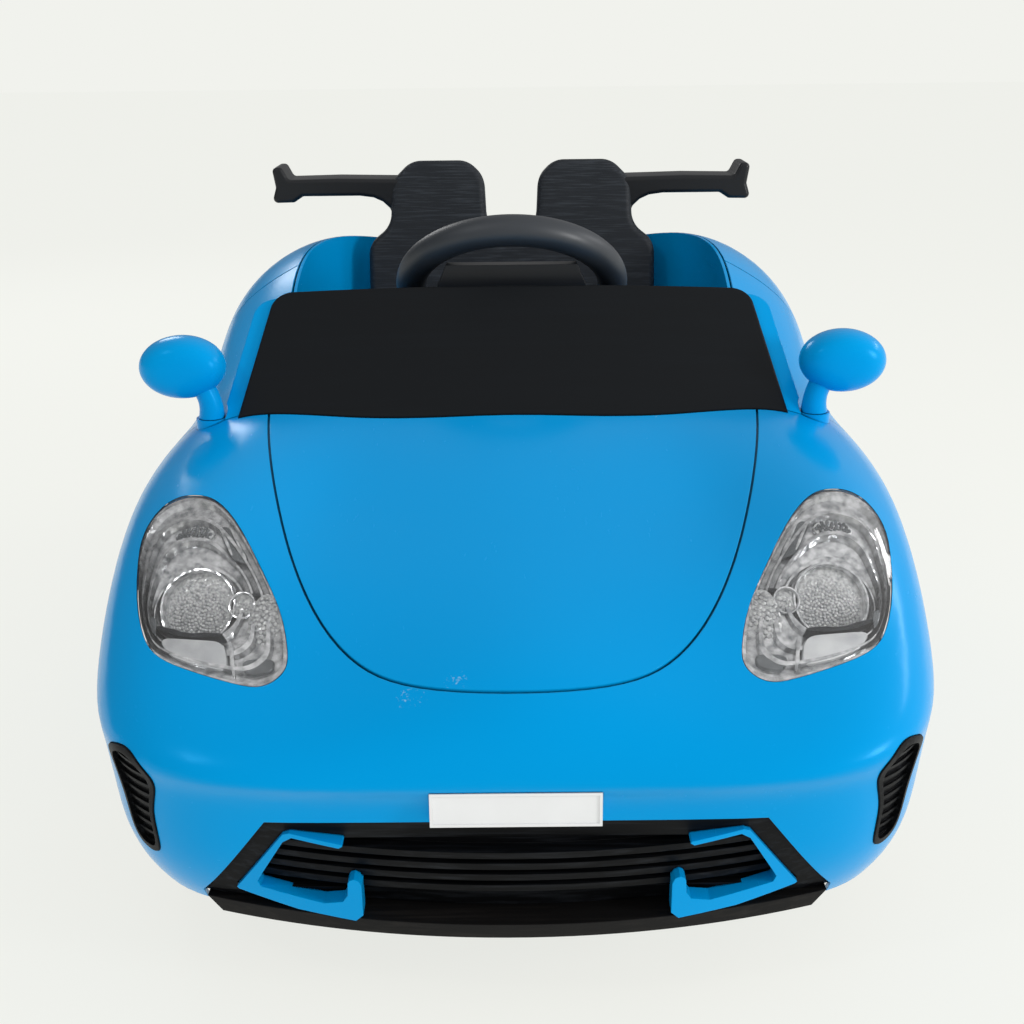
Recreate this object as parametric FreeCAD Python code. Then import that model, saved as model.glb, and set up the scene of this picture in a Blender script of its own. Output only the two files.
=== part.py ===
import FreeCAD, Part
import math
import os

# Battery ride-on sports car for one small child, in millimetres.
# Front is -Y, the car's left is +X, up is +Z, the wheels stand on Z = 0.

V = FreeCAD.Vector
UP = V(0, 0, 1)
SIDE = V(1, 0, 0)
BACK = V(0, 1, 0)
ORIGIN = V(0, 0, 0)

# General
overrun = 60.0
part_gap = 0.4
seat_gap = 0.2
running_gap = 0.05
moving_gap = 0.5

# Body skin
body_length = 1034.0
body_width = 600.0
skin_height = 400.0
wall = 4.0
skin_columns = 48
tail_trim = 2.17
half_width = body_width / 2
nose_reach = body_length / 2
tail_reach = body_length / 2 + tail_trim
arch_radius = 117.0
arch_inner_x = 168.0
crown_rise = 17.0
crown_x = 229.0
crown_y = -312.0
crown_spread_x = 44.0
crown_spread_y = 85.0
flute_depth = 5.0
flute_x = 148.0
flute_y = -300.0
flute_spread_x = 38.0
flute_spread_y = 85.0
waist_depth = 9.0
waist_y = 10.0
waist_spread = 140.0
waist_start_share = 0.1
relief_start_share = 0.5
relief_slope_share = 8.0

# Each ring: half width, front reach, rear reach, front and rear corner fullness, then heights
# from the front centre round the side to the rear centre in seven even steps.
ring_shares = [
    (0.935, 0.930, 0.925, 8.0, 5.6, 0.165, 0.172, 0.185, 0.175, 0.165, 0.165, 0.165),
    (0.982, 0.962, 0.965, 8.0, 5.6, 0.230, 0.236, 0.250, 0.238, 0.245, 0.245, 0.245),
    (1.000, 0.976, 0.982, 7.5, 5.4, 0.345, 0.345, 0.355, 0.363, 0.375, 0.370, 0.365),
    (1.017, 0.983, 0.990, 7.0, 5.2, 0.418, 0.422, 0.430, 0.445, 0.488, 0.460, 0.440),
    (1.024, 1.004, 0.998, 6.5, 4.8, 0.448, 0.452, 0.470, 0.490, 0.563, 0.505, 0.475),
    (1.030, 1.001, 0.998, 6.5, 4.6, 0.470, 0.470, 0.512, 0.545, 0.660, 0.560, 0.520),
    (1.037, 0.978, 0.980, 5.2, 3.9, 0.540, 0.510, 0.600, 0.630, 0.785, 0.655, 0.585),
    (1.027, 0.890, 0.940, 4.5, 3.4, 0.607, 0.572, 0.690, 0.715, 0.885, 0.745, 0.665),
    (0.975, 0.745, 0.872, 4.3, 3.0, 0.665, 0.668, 0.750, 0.780, 0.950, 0.835, 0.745),
    (0.892, 0.565, 0.790, 4.3, 3.1, 0.735, 0.730, 0.798, 0.825, 1.000, 0.915, 0.840),
    (0.800, 0.395, 0.702, 5.0, 3.3, 0.810, 0.806, 0.818, 0.850, 1.025, 0.985, 0.940),
    (0.755, 0.290, 0.642, 6.0, 3.6, 0.832, 0.828, 0.825, 0.865, 1.030, 1.010, 0.985),
]

# Moulded door lines and handle hollows
door_front_y = -124.0
door_rear_y = 138.0
door_rake = 18.0
door_foot_z = 118.0
door_corner = 26.0
door_groove = 2.0
door_groove_depth = 1.4
handle_y = 107.0
handle_z = 300.0
handle_half = 17.0
handle_radius = 6.0
handle_depth = 2.2

# Cockpit liner, the inner wall below the rim
liner_wall = 3.0
liner_shares = [
    (0.712, 0.277, 0.616, 6.0, 3.6, 0.240, 0.240, 0.240, 0.260, 0.410, 0.430, 0.430),
    (0.734, 0.280, 0.626, 6.0, 3.6, 0.550, 0.550, 0.560, 0.580, 0.720, 0.740, 0.740),
]
rim_drop = 22.0

# Hood panel
hood_half = 205.0
hood_rear_y = -157.0
hood_length = 324.0
hood_depth = 2.2
hood_recess = 2.4
hood_gap = 2.2
hood_ledge = 9.0
hood_shares = [
    (1.0, 0.0), (0.935, 0.25), (0.84, 0.49), (0.735, 0.68), (0.60, 0.835), (0.45, 0.93), (0.25, 0.982),
]

# Head lamps
lamp_x = 211.0
lamp_y = -384.0
lamp_z = 256.0
lamp_half_across = 60.0
lamp_half_along = 82.0
lamp_rise = math.radians(54.7)
lamp_toe = math.radians(16.2)
lens_depth = 2.4
reflector_top = 3.6
reflector_floor = 34.0
bowl_radius = 25.0
bowl_depth = 20.0
bowl_across = 14.0
bowl_along = -3.0
small_bowl_radius = 14.0
small_bowl_depth = 12.0
small_bowl_across = -33.0
small_bowl_along = -24.0
led_radius = 5.0
led_small_radius = 3.5
led_height = 7.0
lamp_shares = [
    (0.52, 1.245), (0.91, 1.15), (1.06, 0.88), (1.02, 0.455), (0.91, 0.06), (0.745, -0.32), (0.53, -0.59),
    (0.045, -0.81), (-0.48, -0.95), (-0.80, -0.97), (-0.99, -0.835), (-0.995, -0.62), (-0.82, -0.175),
    (-0.485, 0.35), (-0.128, 0.84), (0.19, 1.138),
]

# Corner vents
vent_x = 247.0
vent_y = -470.0
vent_z = 150.0
vent_half_across = 24.0
vent_half_height = 41.0
vent_toe = math.radians(43.0)
vent_floor = 7.0
vent_base = 3.0
vent_rim = 5.0
vent_proud = 1.2
rib_pitch = 8.0
rib_thick = 2.4
rib_top = 2.0
vent_shares = [
    (0.55, 1.0), (1.0, 0.80), (0.72, 0.05), (0.12, -0.92), (-0.28, -0.95), (-0.66, -0.10), (-0.95, 0.72),
    (-0.55, 0.98),
]

# Front grille, lip and trims
grille_top_z = 150.0
grille_top_half = 163.0
grille_knee_z = 82.0
grille_knee_half = 213.0
grille_foot_half = 208.0
grille_foot_z = 76.5
grille_corner = 10.0
grille_flange = 6.0
grille_radius = 620.0
grille_front_y = -513.0
grille_lean = math.radians(8.5)
grille_depth = 22.0
grille_band = 15.0
grille_window_z = 90.0
window_side_share = 1.6
slat_count = 4
slat_thick = 5.0
slat_back = 7.0
slat_depth = 12.0
backing_thick = 3.0
lip_top_z = 76.0
lip_foot_z = 65.0
lip_half = 211.0
lip_proud = 4.0
lip_depth = 46.0
trim_proud = 4.0
trim_depth = 13.0
trim_inner_x = 101.6
trim_outer_x = 188.3
trim_foot_z = 73.5
trim_top_z = 141.9
# Round the outside from the tip of the top bar to the hooked post, then back along the inside
trim_shares = [
    (
        0.123, 0.909,
    ), (0.131, 0.930), (0.528, 1.0), (0.580, 0.974), (1.0, 0.228), (0.985, 0.208), (0.513, 0.066),
    (0.063, 0.0), (
        0.003, 0.079,
    ), (0.0, 0.442), (0.020, 0.500), (0.057, 0.519), (0.090, 0.500), (0.106, 0.460),
    (0.113, 0.311), (0.153, 0.228), (0.303, 0.183), (0.800, 0.287), (0.822, 0.351), (0.760, 0.494),
    (0.585, 0.880), (0.513, 0.945), (0.303, 0.907), (0.153, 0.880),
]
plate_half = 55.0
plate_foot_z = 152.5
plate_top_z = 176.5
plate_thick = 3.0
plate_rim = 2.0
plate_rim_height = 0.8
plate_y = -514.0

# Windscreen
screen_foot_half = 230.0
screen_top_half = 208.0
screen_foot_y = -156.0
screen_foot_z = 322.0
screen_top_y = -60.0
screen_top_z = 408.5
screen_bow_y = 16.0
screen_bow_z = 5.0
screen_thick = 4.0
screen_corner = 19.0
screen_tuck = 26.0
frame_width = 15.0
frame_thick = 16.0
frame_back = 3.0

# Dash
dash_top_z = 398.0
dash_front_y = -86.0
dash_top_y = -36.0
dash_face_y = -18.0
dash_foot_z = 262.0
dash_foot_y = -70.0
dash_thick = 5.0
dash_drop_share = 1.5
dash_half = 198.0
binnacle_half = 75.0
binnacle_top_z = 434.0
binnacle_y = -33.0
binnacle_length = 34.0
switch_x = 105.0
switch_z = 352.0
switch_half = 9.0
switch_tall = 13.0
switch_depth = 16.0
switch_rim = 3.0
switch_tilt = math.radians(9.0)
rocker_gap = 0.35
rocker_dent_share = 4.0

# Seat
bench_z = 192.0
bench_thick = 7.0
bench_front_y = 62.0
bench_rear_y = 218.4
bench_skirt = 5.0
skirt_reach = 188.0
bench_foot_z = 79.0
bench_dish = 1200.0
bench_dish_depth = 4.0
back_y = 258.0
back_z = 400.0
back_lean = math.radians(10.7)
back_thick = 34.0
back_half = 157.0
back_foot_z = 180.0
back_round = 7.0
back_corner_share = 0.86
face_edge_share = 0.5
head_top_z = 496.0
head_outer = 132.0
head_inner = 27.0
head_round = 24.0
head_slope = 8.0
head_drop = 34.0
shoulder_z = 409.0
valley_z = 418.0
neck_z = 428.0

# Rear wings
wing_y = 272.0
wing_chord = 46.0
wing_root_x = 120.0
wing_tip_x = 249.0
wing_root_z = 430.0
wing_top_z = 482.0
wing_round = 5.0
# From the root along the top to the tip, and back along the underside to the shoulder
wing_shares = [
    (0.0, 0.81), (0.226, 0.942), (0.504, 1.0), (0.789, 0.975), (1.0, 0.94), (1.02, 0.77), (1.0, 0.60),
    (
        0.789, 0.625,
    ), (0.504, 0.654), (0.323, 0.596), (0.211, 0.365), (0.150, 0.115), (0.075, 0.0), (0.0, 0.058),
]
fin_thick = 14.0
fin_round = 4.0
fin_top_z = 490.0
fin_foot_z = 456.0
fin_fore = 3.0
fin_aft = 16.0
fin_slope = 7.0

# Door mirrors
mirror_x = 276.0
mirror_y = -142.0
mirror_z = 367.0
mirror_half_wide = 35.0
mirror_half_tall = 25.5
mirror_half_deep = 25.0
glass_inset = 2.0
egg_shares = [
    (1.0, 0.04), (
        0.995, 0.30,
    ), (0.93, 0.62), (0.72, 0.88), (0.40, 1.01), (0.05, 1.05), (-0.30, 1.0), (-0.50, 0.92),
]
glass_share = 0.84
stem_x = 254.0
stem_y = -148.0
stem_radius = 11.0
stem_top_radius = 12.5
stem_waist_share = 0.90
socket_radius = 13.0
socket_top_z = 324.0
socket_foot_z = 296.0
peg_radius = 4.0
peg_length = 16.0

# Wheels and axles
wheel_radius = 95.0
wheel_width = 62.0
wheel_x = 241.0
front_axle_y = -275.0
rear_axle_y = 290.0
tread_count = 22
tread_width = 7.0
tread_depth = 4.0
tread_reach = 19.0
rim_radius = 66.0
rim_dish = 14.0
hub_radius = 16.0
cover_radius = 62.0
cover_thick = 3.0
cover_gap = 0.5
spoke_count = 5
window_inner = 24.0
window_outer = 54.0
window_angle = math.radians(44.0)
cap_radius = 15.0
cap_rise = 5.0
cap_flat_share = 0.6
window_inner_share = 0.55
stub_radius = 5.0
axle_radius = 6.0
axle_nut_radius = 10.0
axle_nut_thick = 6.0
nut_gap = 0.6
web_thick = 6.0

# Steering
rim_center_y = 20.0
rim_center_z = 404.0
column_rise = math.radians(50.0)
steer_rim_radius = 94.0
steer_tube = 14.0
spoke_tube = 9.0
spoke_half_angle = math.radians(20.0)
hub_pad_radius = 37.0
hub_pad_thick = 24.0
hub_drop = 26.0
button_radius = 7.0
button_spread = 17.0
button_travel = 2.5
button_proud = 3.0
button_skirt = 1.5
button_depth = 7.0
column_radius = 6.0
column_length = 379.0
column_hole = 16.0
crank_radius = 40.0
pin_length = 26.0
pin_radius = 4.0
kingpin_x = 178.0
kingpin_radius = 6.0
kingpin_top_z = 163.0
kingpin_foot_z = 78.0
arm_width = 16.0
arm_thick = 6.0
arm_pin_radius = 3.5
tie_z = 78.0
tie_thick = 5.0
tie_width = 15.0
tie_gap = 0.3
slot_gap = 0.9
slot_fore = 17.0
slot_aft = 10.0
collar_radius = 11.0
collar_thick = 6.0
clip_thick = 4.0

# Chassis tray
tray_z = 70.0
tray_thick = 6.0
tray_front_y = -150.0
tray_rear_y = 470.0
tray_well_x = 158.0
tray_well_half = 112.0
bridge_z = 132.0
bridge_thick = 6.0
bridge_half = 150.0
bridge_arm = 16.0
bridge_front_y = -425.0
bridge_nose_half = 130.0
bridge_nose_y = -330.0
sleeve_radius = 13.0
sleeve_foot_z = 106.0
sleeve_top_z = 156.0
post_half = 9.0
post_depth = 20.0
post_top_z = 118.0
axle_post_x = 128.0
bearing_radius = 15.0
bearing_length = 22.0
bearing_share = 0.93
side_wall = 4.0
rib_height = 12.0
rib_width = 4.0
screw_radius = 2.0
screw_head = 4.2
screw_length = 5.5
screw_head_thick = 2.6
screw_slot = 1.0

# Battery
battery_wide = 106.0
battery_deep = 70.0
battery_tall = 96.0
battery_x = -40.0
battery_y = 128.0
tab_wide = 6.0
tab_thick = 1.2
tab_tall = 7.0
tab_spread = 34.0
upright_share = 0.9
strap_wide = 24.0
strap_thick = 2.4
strap_foot = 14.0

# Drive
gear_module = 1.25
pinion_teeth = 12
wheel_teeth = 40
output_teeth = 48
gear_face = 8.0
gear_step = 10.0
gear_layer_x = 172.0
gear_spread = 0.12
gear_backlash = 0.24
gear_pressure = math.radians(20.0)
root_share = 1.2
flank_steps = 4
case_wall = 3.0
case_clear = 2.0
case_inner_x = 164.0
case_split_x = 183.0
case_outer_x = 206.0
shaft_radius = 3.0
boss_wall = 3.0
motor_radius = 17.5
motor_length = 52.0
motor_nose = 6.5
motor_shaft = 1.6
dog_radius = 15.0
dog_count = 3
dog_half = 4.0
dog_reach = 8.0
dog_gap = 0.4
gear_angles = (math.radians(152.0), math.radians(166.0), math.radians(205.0))

# Pedal
pedal_x = -75.0
pedal_y = -62.0
pedal_half = 30.0
pedal_length = 78.0
pedal_thick = 6.0
pedal_rise = math.radians(38.0)
pedal_pin_radius = 4.0
pedal_pin_lift = 9.0
pedal_lug = 8.0
tread_rib_count = 5
tread_rib = 3.0
tread_rib_height = 1.6
tread_reach_share = 0.75
box_half = 24.0
box_deep = 26.0
box_tall = 13.0
box_y = -112.0

# Charging inlet, in a flat spot of the rear skirt
inlet_x = 78.0
inlet_z = 98.0
inlet_spot = 3.0
inlet_bore = 3.2
inlet_body = 6.0
inlet_flange = 9.0
inlet_flange_thick = 2.0
inlet_length = 20.0
inlet_bore_depth = 12.0

# Tail
tail_lamp_x = 196.0
tail_lamp_z = 252.0
tail_lamp_half = 46.0
tail_lamp_tall = 19.0
tail_lamp_toe = math.radians(24.0)
tail_lens_depth = 2.5
tail_lens_proud = 1.5
skirt_half = 150.0
skirt_foot_half = 170.0
skirt_top_z = 124.0
skirt_foot_z = 70.0
skirt_proud = 3.0
skirt_depth = 3.0
fin_count = 5
fin_pitch = 52.0
fin_wide = 5.0
fin_proud = 9.0


def turned(shape, base, axis, angle):
    moved = shape.copy()
    moved.rotate(base, axis, math.degrees(angle))
    return moved


def mirrored(shape):
    return shape.mirror(ORIGIN, SIDE)


def block(x0, x1, y0, y1, z0, z1):
    return Part.makeBox(x1 - x0, y1 - y0, z1 - z0, V(x0, y0, z0))


def rod(radius, start, end):
    return Part.makeCylinder(radius, (end - start).Length, start, end - start)


def fused(shapes):
    whole = shapes[0].fuse(shapes[1:])
    return whole.removeSplitter()


def largest(shape):
    return max(shape.Solids, key=lambda solid: solid.Volume)


def holding(shape, point):
    best = min(shape.Solids, key=lambda solid: solid.distToShape(Part.Vertex(point))[0])
    return best


def polygon_prism(points, along):
    return Part.Face(Part.makePolygon(points + [points[0]])).extrude(along)


def loop_prism(points, along):
    curve = Part.BSplineCurve()
    curve.interpolate(points, PeriodicFlag=True)
    return Part.Face(Part.Wire([curve.toShape()])).extrude(along)


def round_polygon(points, radius):
    edges = []
    count = len(points)
    starts = []
    for i in range(count):
        here = points[i]
        before = (points[i - 1] - here).normalize()
        after = (points[(i + 1) % count] - here).normalize()
        half = before.getAngle(after) / 2
        setback = radius / math.tan(half)
        middle = (before + after).normalize() * (radius / math.sin(half) - radius)
        starts.append((here + before * setback, here + middle, here + after * setback))
    for i in range(count):
        first, through, last = starts[i]
        edges.append(Part.Arc(first, through, last).toShape())
        edges.append(Part.LineSegment(last, starts[(i + 1) % count][0]).toShape())
    return Part.Face(Part.Wire(edges))


def capsule(start, end, radius, along):
    # Bar with round ends between two points, thickened along the given vector
    run = (end - start).normalize()
    across = run.cross(V(along).normalize()) * radius
    tip = run * radius
    outline = [
        Part.LineSegment(start + across, end + across).toShape(),
        Part.Arc(end + across, end + tip, end - across).toShape(),
        Part.LineSegment(end - across, start - across).toShape(),
        Part.Arc(start - across, start - tip, start + across).toShape(),
    ]
    return Part.Face(Part.Wire(outline)).extrude(along)


def belt(center_a, radius_a, center_b, radius_b, along):
    # Outline of a belt round two discs, thickened along the given vector
    normal = V(along).normalize()
    run = center_b - center_a
    length = run.Length
    run.normalize()
    cross = normal.cross(run)
    tilt = math.acos((radius_a - radius_b) / length)
    left = run * math.cos(tilt) + cross * math.sin(tilt)
    right = run * math.cos(tilt) - cross * math.sin(tilt)
    outline = [
        Part.LineSegment(center_a + left * radius_a, center_b + left * radius_b).toShape(),
        Part.Arc(
            center_b + left * radius_b, center_b + run * radius_b, center_b + right * radius_b,
        ).toShape(),
        Part.LineSegment(center_b + right * radius_b, center_a + right * radius_a).toShape(),
        Part.Arc(
            center_a + right * radius_a, center_a - run * radius_a, center_a + left * radius_a,
        ).toShape(),
    ]
    return Part.Face(Part.Wire(outline)).extrude(along)


def even_series(values, angle):
    # Smooth even curve through values set at equal steps from the front to the rear
    last = len(values) - 1
    total = 0.0
    for order in range(last + 1):
        weight = 0.0
        for i, value in enumerate(values):
            share = 0.5 if i in (0, last) else 1.0
            weight += share * value * math.cos(math.pi * order * i / last)
        weight *= 2.0 / last
        if order in (0, last):
            weight /= 2
        total += weight * math.cos(order * angle)
    return total


def ring_point(row, angle, relief):
    width, front, rear, front_full, rear_full = row[:5]
    across = math.sin(angle)
    ahead = math.cos(angle)
    full = front_full if ahead > 0 else rear_full
    reach = front * nose_reach if ahead > 0 else rear * tail_reach
    stretch = (abs(across) ** full + abs(ahead) ** full) ** (-1 / full)
    x = width * half_width * stretch * across
    y = -reach * stretch * ahead
    z = skin_height * even_series(row[5:], angle)
    if relief:
        crown = ((abs(x) - crown_x) / crown_spread_x) ** 2 + ((y - crown_y) / crown_spread_y) ** 2
        flute = ((abs(x) - flute_x) / flute_spread_x) ** 2 + ((y - flute_y) / flute_spread_y) ** 2
        above = min(1.0, max(0.0, (z / skin_height - relief_start_share) * relief_slope_share))
        z += above * (crown_rise * math.exp(-crown) - flute_depth * math.exp(-flute))
        waist = waist_depth * math.exp(-((y - waist_y) / waist_spread) ** 2)
        if abs(across) > waist_start_share:
            x -= math.copysign(min(abs(x), waist * abs(across)), x)
    return V(x, y, z)


def cage_of(rows, relief):
    cage = []
    for row in rows:
        cage.append([ring_point(row, 2 * math.pi * i / skin_columns, relief) for i in range(skin_columns)])
    return cage


def sunk(cage, depth):
    # The same net of points moved inward by a depth
    rows = len(cage)
    result = []
    for k in range(rows):
        line = []
        for i in range(skin_columns):
            round_step = cage[k][(i + 1) % skin_columns] - cage[k][i - 1]
            up_step = cage[min(k + 1, rows - 1)][i] - cage[max(k - 1, 0)][i]
            line.append(cage[k][i] - round_step.cross(up_step).normalize() * depth)
        result.append(line)
    return result


def skin_face(cage):
    rows = len(cage)
    start = skin_columns // 2
    poles = []
    for i in range(skin_columns):
        column = (i + start) % skin_columns
        poles.append([cage[k][column] for k in range(rows)])
    surface = Part.BSplineSurface()
    spans = rows - 3
    surface.buildFromPolesMultsKnots(
        poles,
        [1] * (skin_columns + 1),
        [4] + [1] * (spans - 1) + [4],
        list(range(skin_columns + 1)),
        list(range(spans + 1)),
        True,
        False,
        3,
        3,
    )
    return surface.toShape()


def ring_edges(face):
    rings = [edge for edge in face.Edges if edge.isClosed()]
    rings.sort(key=lambda edge: edge.BoundBox.Center.z)
    return rings[0], rings[-1]


def layer(cage, outer_depth, inner_depth):
    # Solid sheet between two depths below the skin
    outer = skin_face(sunk(cage, outer_depth))
    inner = skin_face(sunk(cage, inner_depth))
    outer_low, outer_high = ring_edges(outer)
    inner_low, inner_high = ring_edges(inner)
    faces = [
        outer, inner, Part.makeRuledSurface(outer_low, inner_low),
        Part.makeRuledSurface(outer_high, inner_high),
    ]
    sheet = Part.makeCompound(faces)
    sheet.sewShape()
    solid = Part.makeSolid(sheet.Shells[0])
    if solid.Volume < 0:
        solid.reverse()
    return solid


BODY_CAGE = cage_of(ring_shares, True)


def liner_cage():
    # The liner hangs just inside the body's rim and runs down to the floor
    edge = sunk(BODY_CAGE, wall)[-1]
    top = []
    for i in range(skin_columns):
        outward = (edge[(i + 1) % skin_columns] - edge[i - 1]).cross(UP).normalize()
        top.append(edge[i] - outward * part_gap + UP * (BODY_CAGE[-1][i].z - edge[i].z))
    neck = [point - UP * rim_drop for point in top]
    return cage_of(liner_shares, False) + [neck, top]


LINER_CAGE = liner_cage()


def hood_outline(shrink, top_z):
    half = hood_half - shrink
    rear = hood_rear_y - shrink
    length = hood_length - 2 * shrink
    points = [V(half * x, rear - length * y, top_z) for x, y in hood_shares]
    points.append(V(0, rear - length, top_z))
    points += [V(-half * x, rear - length * y, top_z) for x, y in reversed(hood_shares)]
    curve = Part.BSplineCurve()
    curve.interpolate(points)
    edges = [curve.toShape(), Part.LineSegment(points[-1], points[0]).toShape()]
    return Part.Face(Part.Wire(edges))


def hood_prism(shrink):
    return hood_outline(shrink, grille_top_z).extrude(UP * skin_height)


def lamp_frame(sign):
    axis = V(
        sign * math.cos(lamp_rise) * math.sin(lamp_toe), -math.cos(lamp_rise) * math.cos(lamp_toe),
        math.sin(lamp_rise),
    )
    across = V(SIDE) * sign
    across = (across - axis * across.dot(axis)).normalize()
    along = axis.cross(across) * sign
    return V(sign * lamp_x, lamp_y, lamp_z), axis, across, along


def lamp_point(sign, across_place, along_place, height):
    middle, axis, across, along = lamp_frame(sign)
    return middle + across * across_place + along * along_place + axis * height


def lamp_prism(sign, shrink, low, high):
    half_a = lamp_half_across - shrink
    half_b = lamp_half_along - shrink
    points = [lamp_point(sign, a * half_a, b * half_b, low) for a, b in lamp_shares]
    return loop_prism(points, lamp_frame(sign)[1] * (high - low))


def vent_prism(sign, shrink, low, high):
    axis = V(sign * math.sin(vent_toe), -math.cos(vent_toe), 0)
    across = V(sign * math.cos(vent_toe), math.sin(vent_toe), 0)
    base = V(sign * vent_x, vent_y, vent_z) + axis * low
    half_a = vent_half_across - shrink
    half_b = vent_half_height - shrink
    points = [base + across * (a * half_a) + UP * (b * half_b) for a, b in vent_shares]
    return loop_prism(points, axis * (high - low))


def grille_points(shrink, foot_z, y):
    right = [
        (grille_top_half - shrink, grille_top_z - shrink),
        (grille_knee_half - shrink, grille_knee_z),
        (grille_foot_half - shrink, foot_z),
    ]
    points = [V(x, y, z) for x, z in right]
    points += [V(-x, y, z) for x, z in reversed(right)]
    return points


def front_bow(proud, depth):
    # Curved slab that follows the bow of the bumper
    lean = V(0, math.sin(-grille_lean), math.cos(grille_lean))
    foot = V(0, grille_front_y + grille_radius, 0) - lean * skin_height
    foot = foot + V(0, math.tan(-grille_lean) * -grille_top_z, 0)
    outer = Part.makeCylinder(grille_radius + proud, skin_height * 2, foot, lean)
    inner = Part.makeCylinder(grille_radius + proud - depth, skin_height * 2, foot, lean)
    return outer.cut(inner)


def tail_lamp_prism(sign, shrink, low, high):
    axis = V(sign * math.sin(tail_lamp_toe), math.cos(tail_lamp_toe), 0)
    across = V(math.cos(tail_lamp_toe), -sign * math.sin(tail_lamp_toe), 0)
    middle = V(sign * tail_lamp_x, tail_reach, tail_lamp_z) + axis * low
    ellipse = Part.Ellipse(
        middle + across * (tail_lamp_half - shrink), middle + UP * (tail_lamp_tall - shrink), middle,
    )
    return Part.Face(Part.Wire([ellipse.toShape()])).extrude(axis * (high - low))


def skirt_prism(shrink):
    points = [
        V(skirt_half - shrink, 0, skirt_top_z - shrink),
        V(skirt_foot_half - shrink, 0, skirt_foot_z + shrink),
        V(shrink - skirt_foot_half, 0, skirt_foot_z + shrink),
        V(shrink - skirt_half, 0, skirt_top_z - shrink),
    ]
    return polygon_prism(points, BACK * (tail_reach + overrun))


def door_prism(sign, shrink):
    # Outline of a door seen from the side, open at the top where it passes the rim
    x = sign * arch_inner_x
    top = skin_height + overrun
    points = [
        V(x, door_front_y - door_rake + shrink, top),
        V(x, door_front_y + shrink, door_foot_z + shrink),
        V(x, door_rear_y - shrink, door_foot_z + shrink),
        V(x, door_rear_y + door_rake - shrink, top),
    ]
    return round_polygon(points, door_corner - shrink).extrude(SIDE * (sign * half_width))


def door_cuts():
    scribe = layer(BODY_CAGE, -wall, door_groove_depth)
    hollow = layer(BODY_CAGE, -wall, handle_depth)
    cuts = []
    for sign in (-1, 1):
        band = door_prism(sign, 0).cut(door_prism(sign, door_groove))
        cuts.append(scribe.common(band))
        start = V(sign * arch_inner_x, handle_y - handle_half, handle_z)
        end = V(sign * arch_inner_x, handle_y + handle_half, handle_z)
        grip = capsule(start, end, handle_radius, SIDE * (sign * half_width))
        cuts.append(hollow.common(grip))
    return cuts


def column_axis():
    return V(0, math.cos(column_rise), math.sin(column_rise))


def crank_way():
    return V(0, math.sin(column_rise), -math.cos(column_rise))


def rim_center():
    return V(0, rim_center_y, rim_center_z)


def make_body(parts):
    full = layer(BODY_CAGE, 0, wall)
    recess = layer(BODY_CAGE, -wall, hood_recess)
    cover = layer(BODY_CAGE, 0, hood_depth)
    parts["hood_panel"] = largest(cover.common(hood_prism(hood_gap)))
    shell = full.cut(recess.common(hood_prism(0)))
    shell = shell.cut(hood_prism(hood_ledge))
    cuts = []
    for sign in (-1, 1):
        reach = V(sign * (half_width + overrun), 0, 0)
        for y in (front_axle_y, rear_axle_y):
            start = V(sign * arch_inner_x, y, wheel_radius)
            cuts.append(rod(arch_radius, start, V(reach.x, y, wheel_radius)))
        cuts.append(lamp_prism(sign, 0, -overrun, overrun))
        cuts.append(vent_prism(sign, 0, -overrun / 2, overrun / 2))
        cuts.append(tail_lamp_prism(sign, 0, -overrun * 2, overrun))
        socket = V(sign * stem_x, stem_y, 0)
        cuts.append(
            rod(
                socket_radius + seat_gap, socket + UP * (socket_foot_z - overrun),
                socket + UP * skin_height,
            )
        )
    opening = polygon_prism(
        grille_points(0, skirt_foot_z - overrun, grille_front_y - overrun), BACK * (overrun * 3),
    )
    cuts.append(opening)
    cuts.append(skirt_prism(0))
    cuts += door_cuts()
    for cutter in cuts:
        shell = shell.cut(cutter)
    parts["body_shell"] = largest(shell)


def make_liner(parts):
    liner = layer(LINER_CAGE, 0, liner_wall)
    axis = column_axis()
    hole = rod(column_hole, rim_center() - axis * column_length, rim_center())
    parts["cockpit_liner"] = largest(liner.cut(hole))


def make_lamps(parts):
    lens_layer = layer(BODY_CAGE, 0, lens_depth)
    above = layer(BODY_CAGE, -overrun, reflector_top)
    leds = []
    lenses = []
    reflectors = []
    for sign in (1, -1):
        lenses.append(largest(lens_layer.common(lamp_prism(sign, part_gap, -overrun, overrun))))
        bowl = lamp_prism(sign, part_gap, -reflector_floor, overrun / 2).cut(above)
        middle, axis, across, along = lamp_frame(sign)
        bowl = holding(bowl, middle - axis * reflector_floor)
        bowls = (
            (bowl_across, bowl_along, bowl_radius, bowl_depth, led_radius),
            (small_bowl_across, small_bowl_along, small_bowl_radius, small_bowl_depth, led_small_radius),
        )
        for a, b, radius, depth, led in bowls:
            ball = (radius * radius + depth * depth) / (2 * depth)
            mouth = bowl_mouth(bowl, sign, a, b)
            center = lamp_point(sign, a, b, mouth - depth + ball)
            bowl = bowl.cut(Part.makeSphere(ball, center))
            rise = ball - math.sqrt(ball * ball - led * led) + seat_gap
            leds.append(make_led(sign, a, b, mouth - depth + rise, led))
        reflectors.append(largest(bowl))
    parts["headlamp_leds"] = Part.makeCompound(leds)
    parts["headlamp_lenses"] = Part.makeCompound(lenses)
    parts["headlamp_reflectors"] = Part.makeCompound(reflectors)


def bowl_mouth(bowl, sign, a, b):
    line = Part.LineSegment(
        lamp_point(sign, a, b, -reflector_floor - overrun), lamp_point(sign, a, b, overrun),
    ).toShape()
    inside = bowl.common(line)
    middle, axis, across, along = lamp_frame(sign)
    return max((vertex.Point - middle).dot(axis) for vertex in inside.Vertexes)


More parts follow.
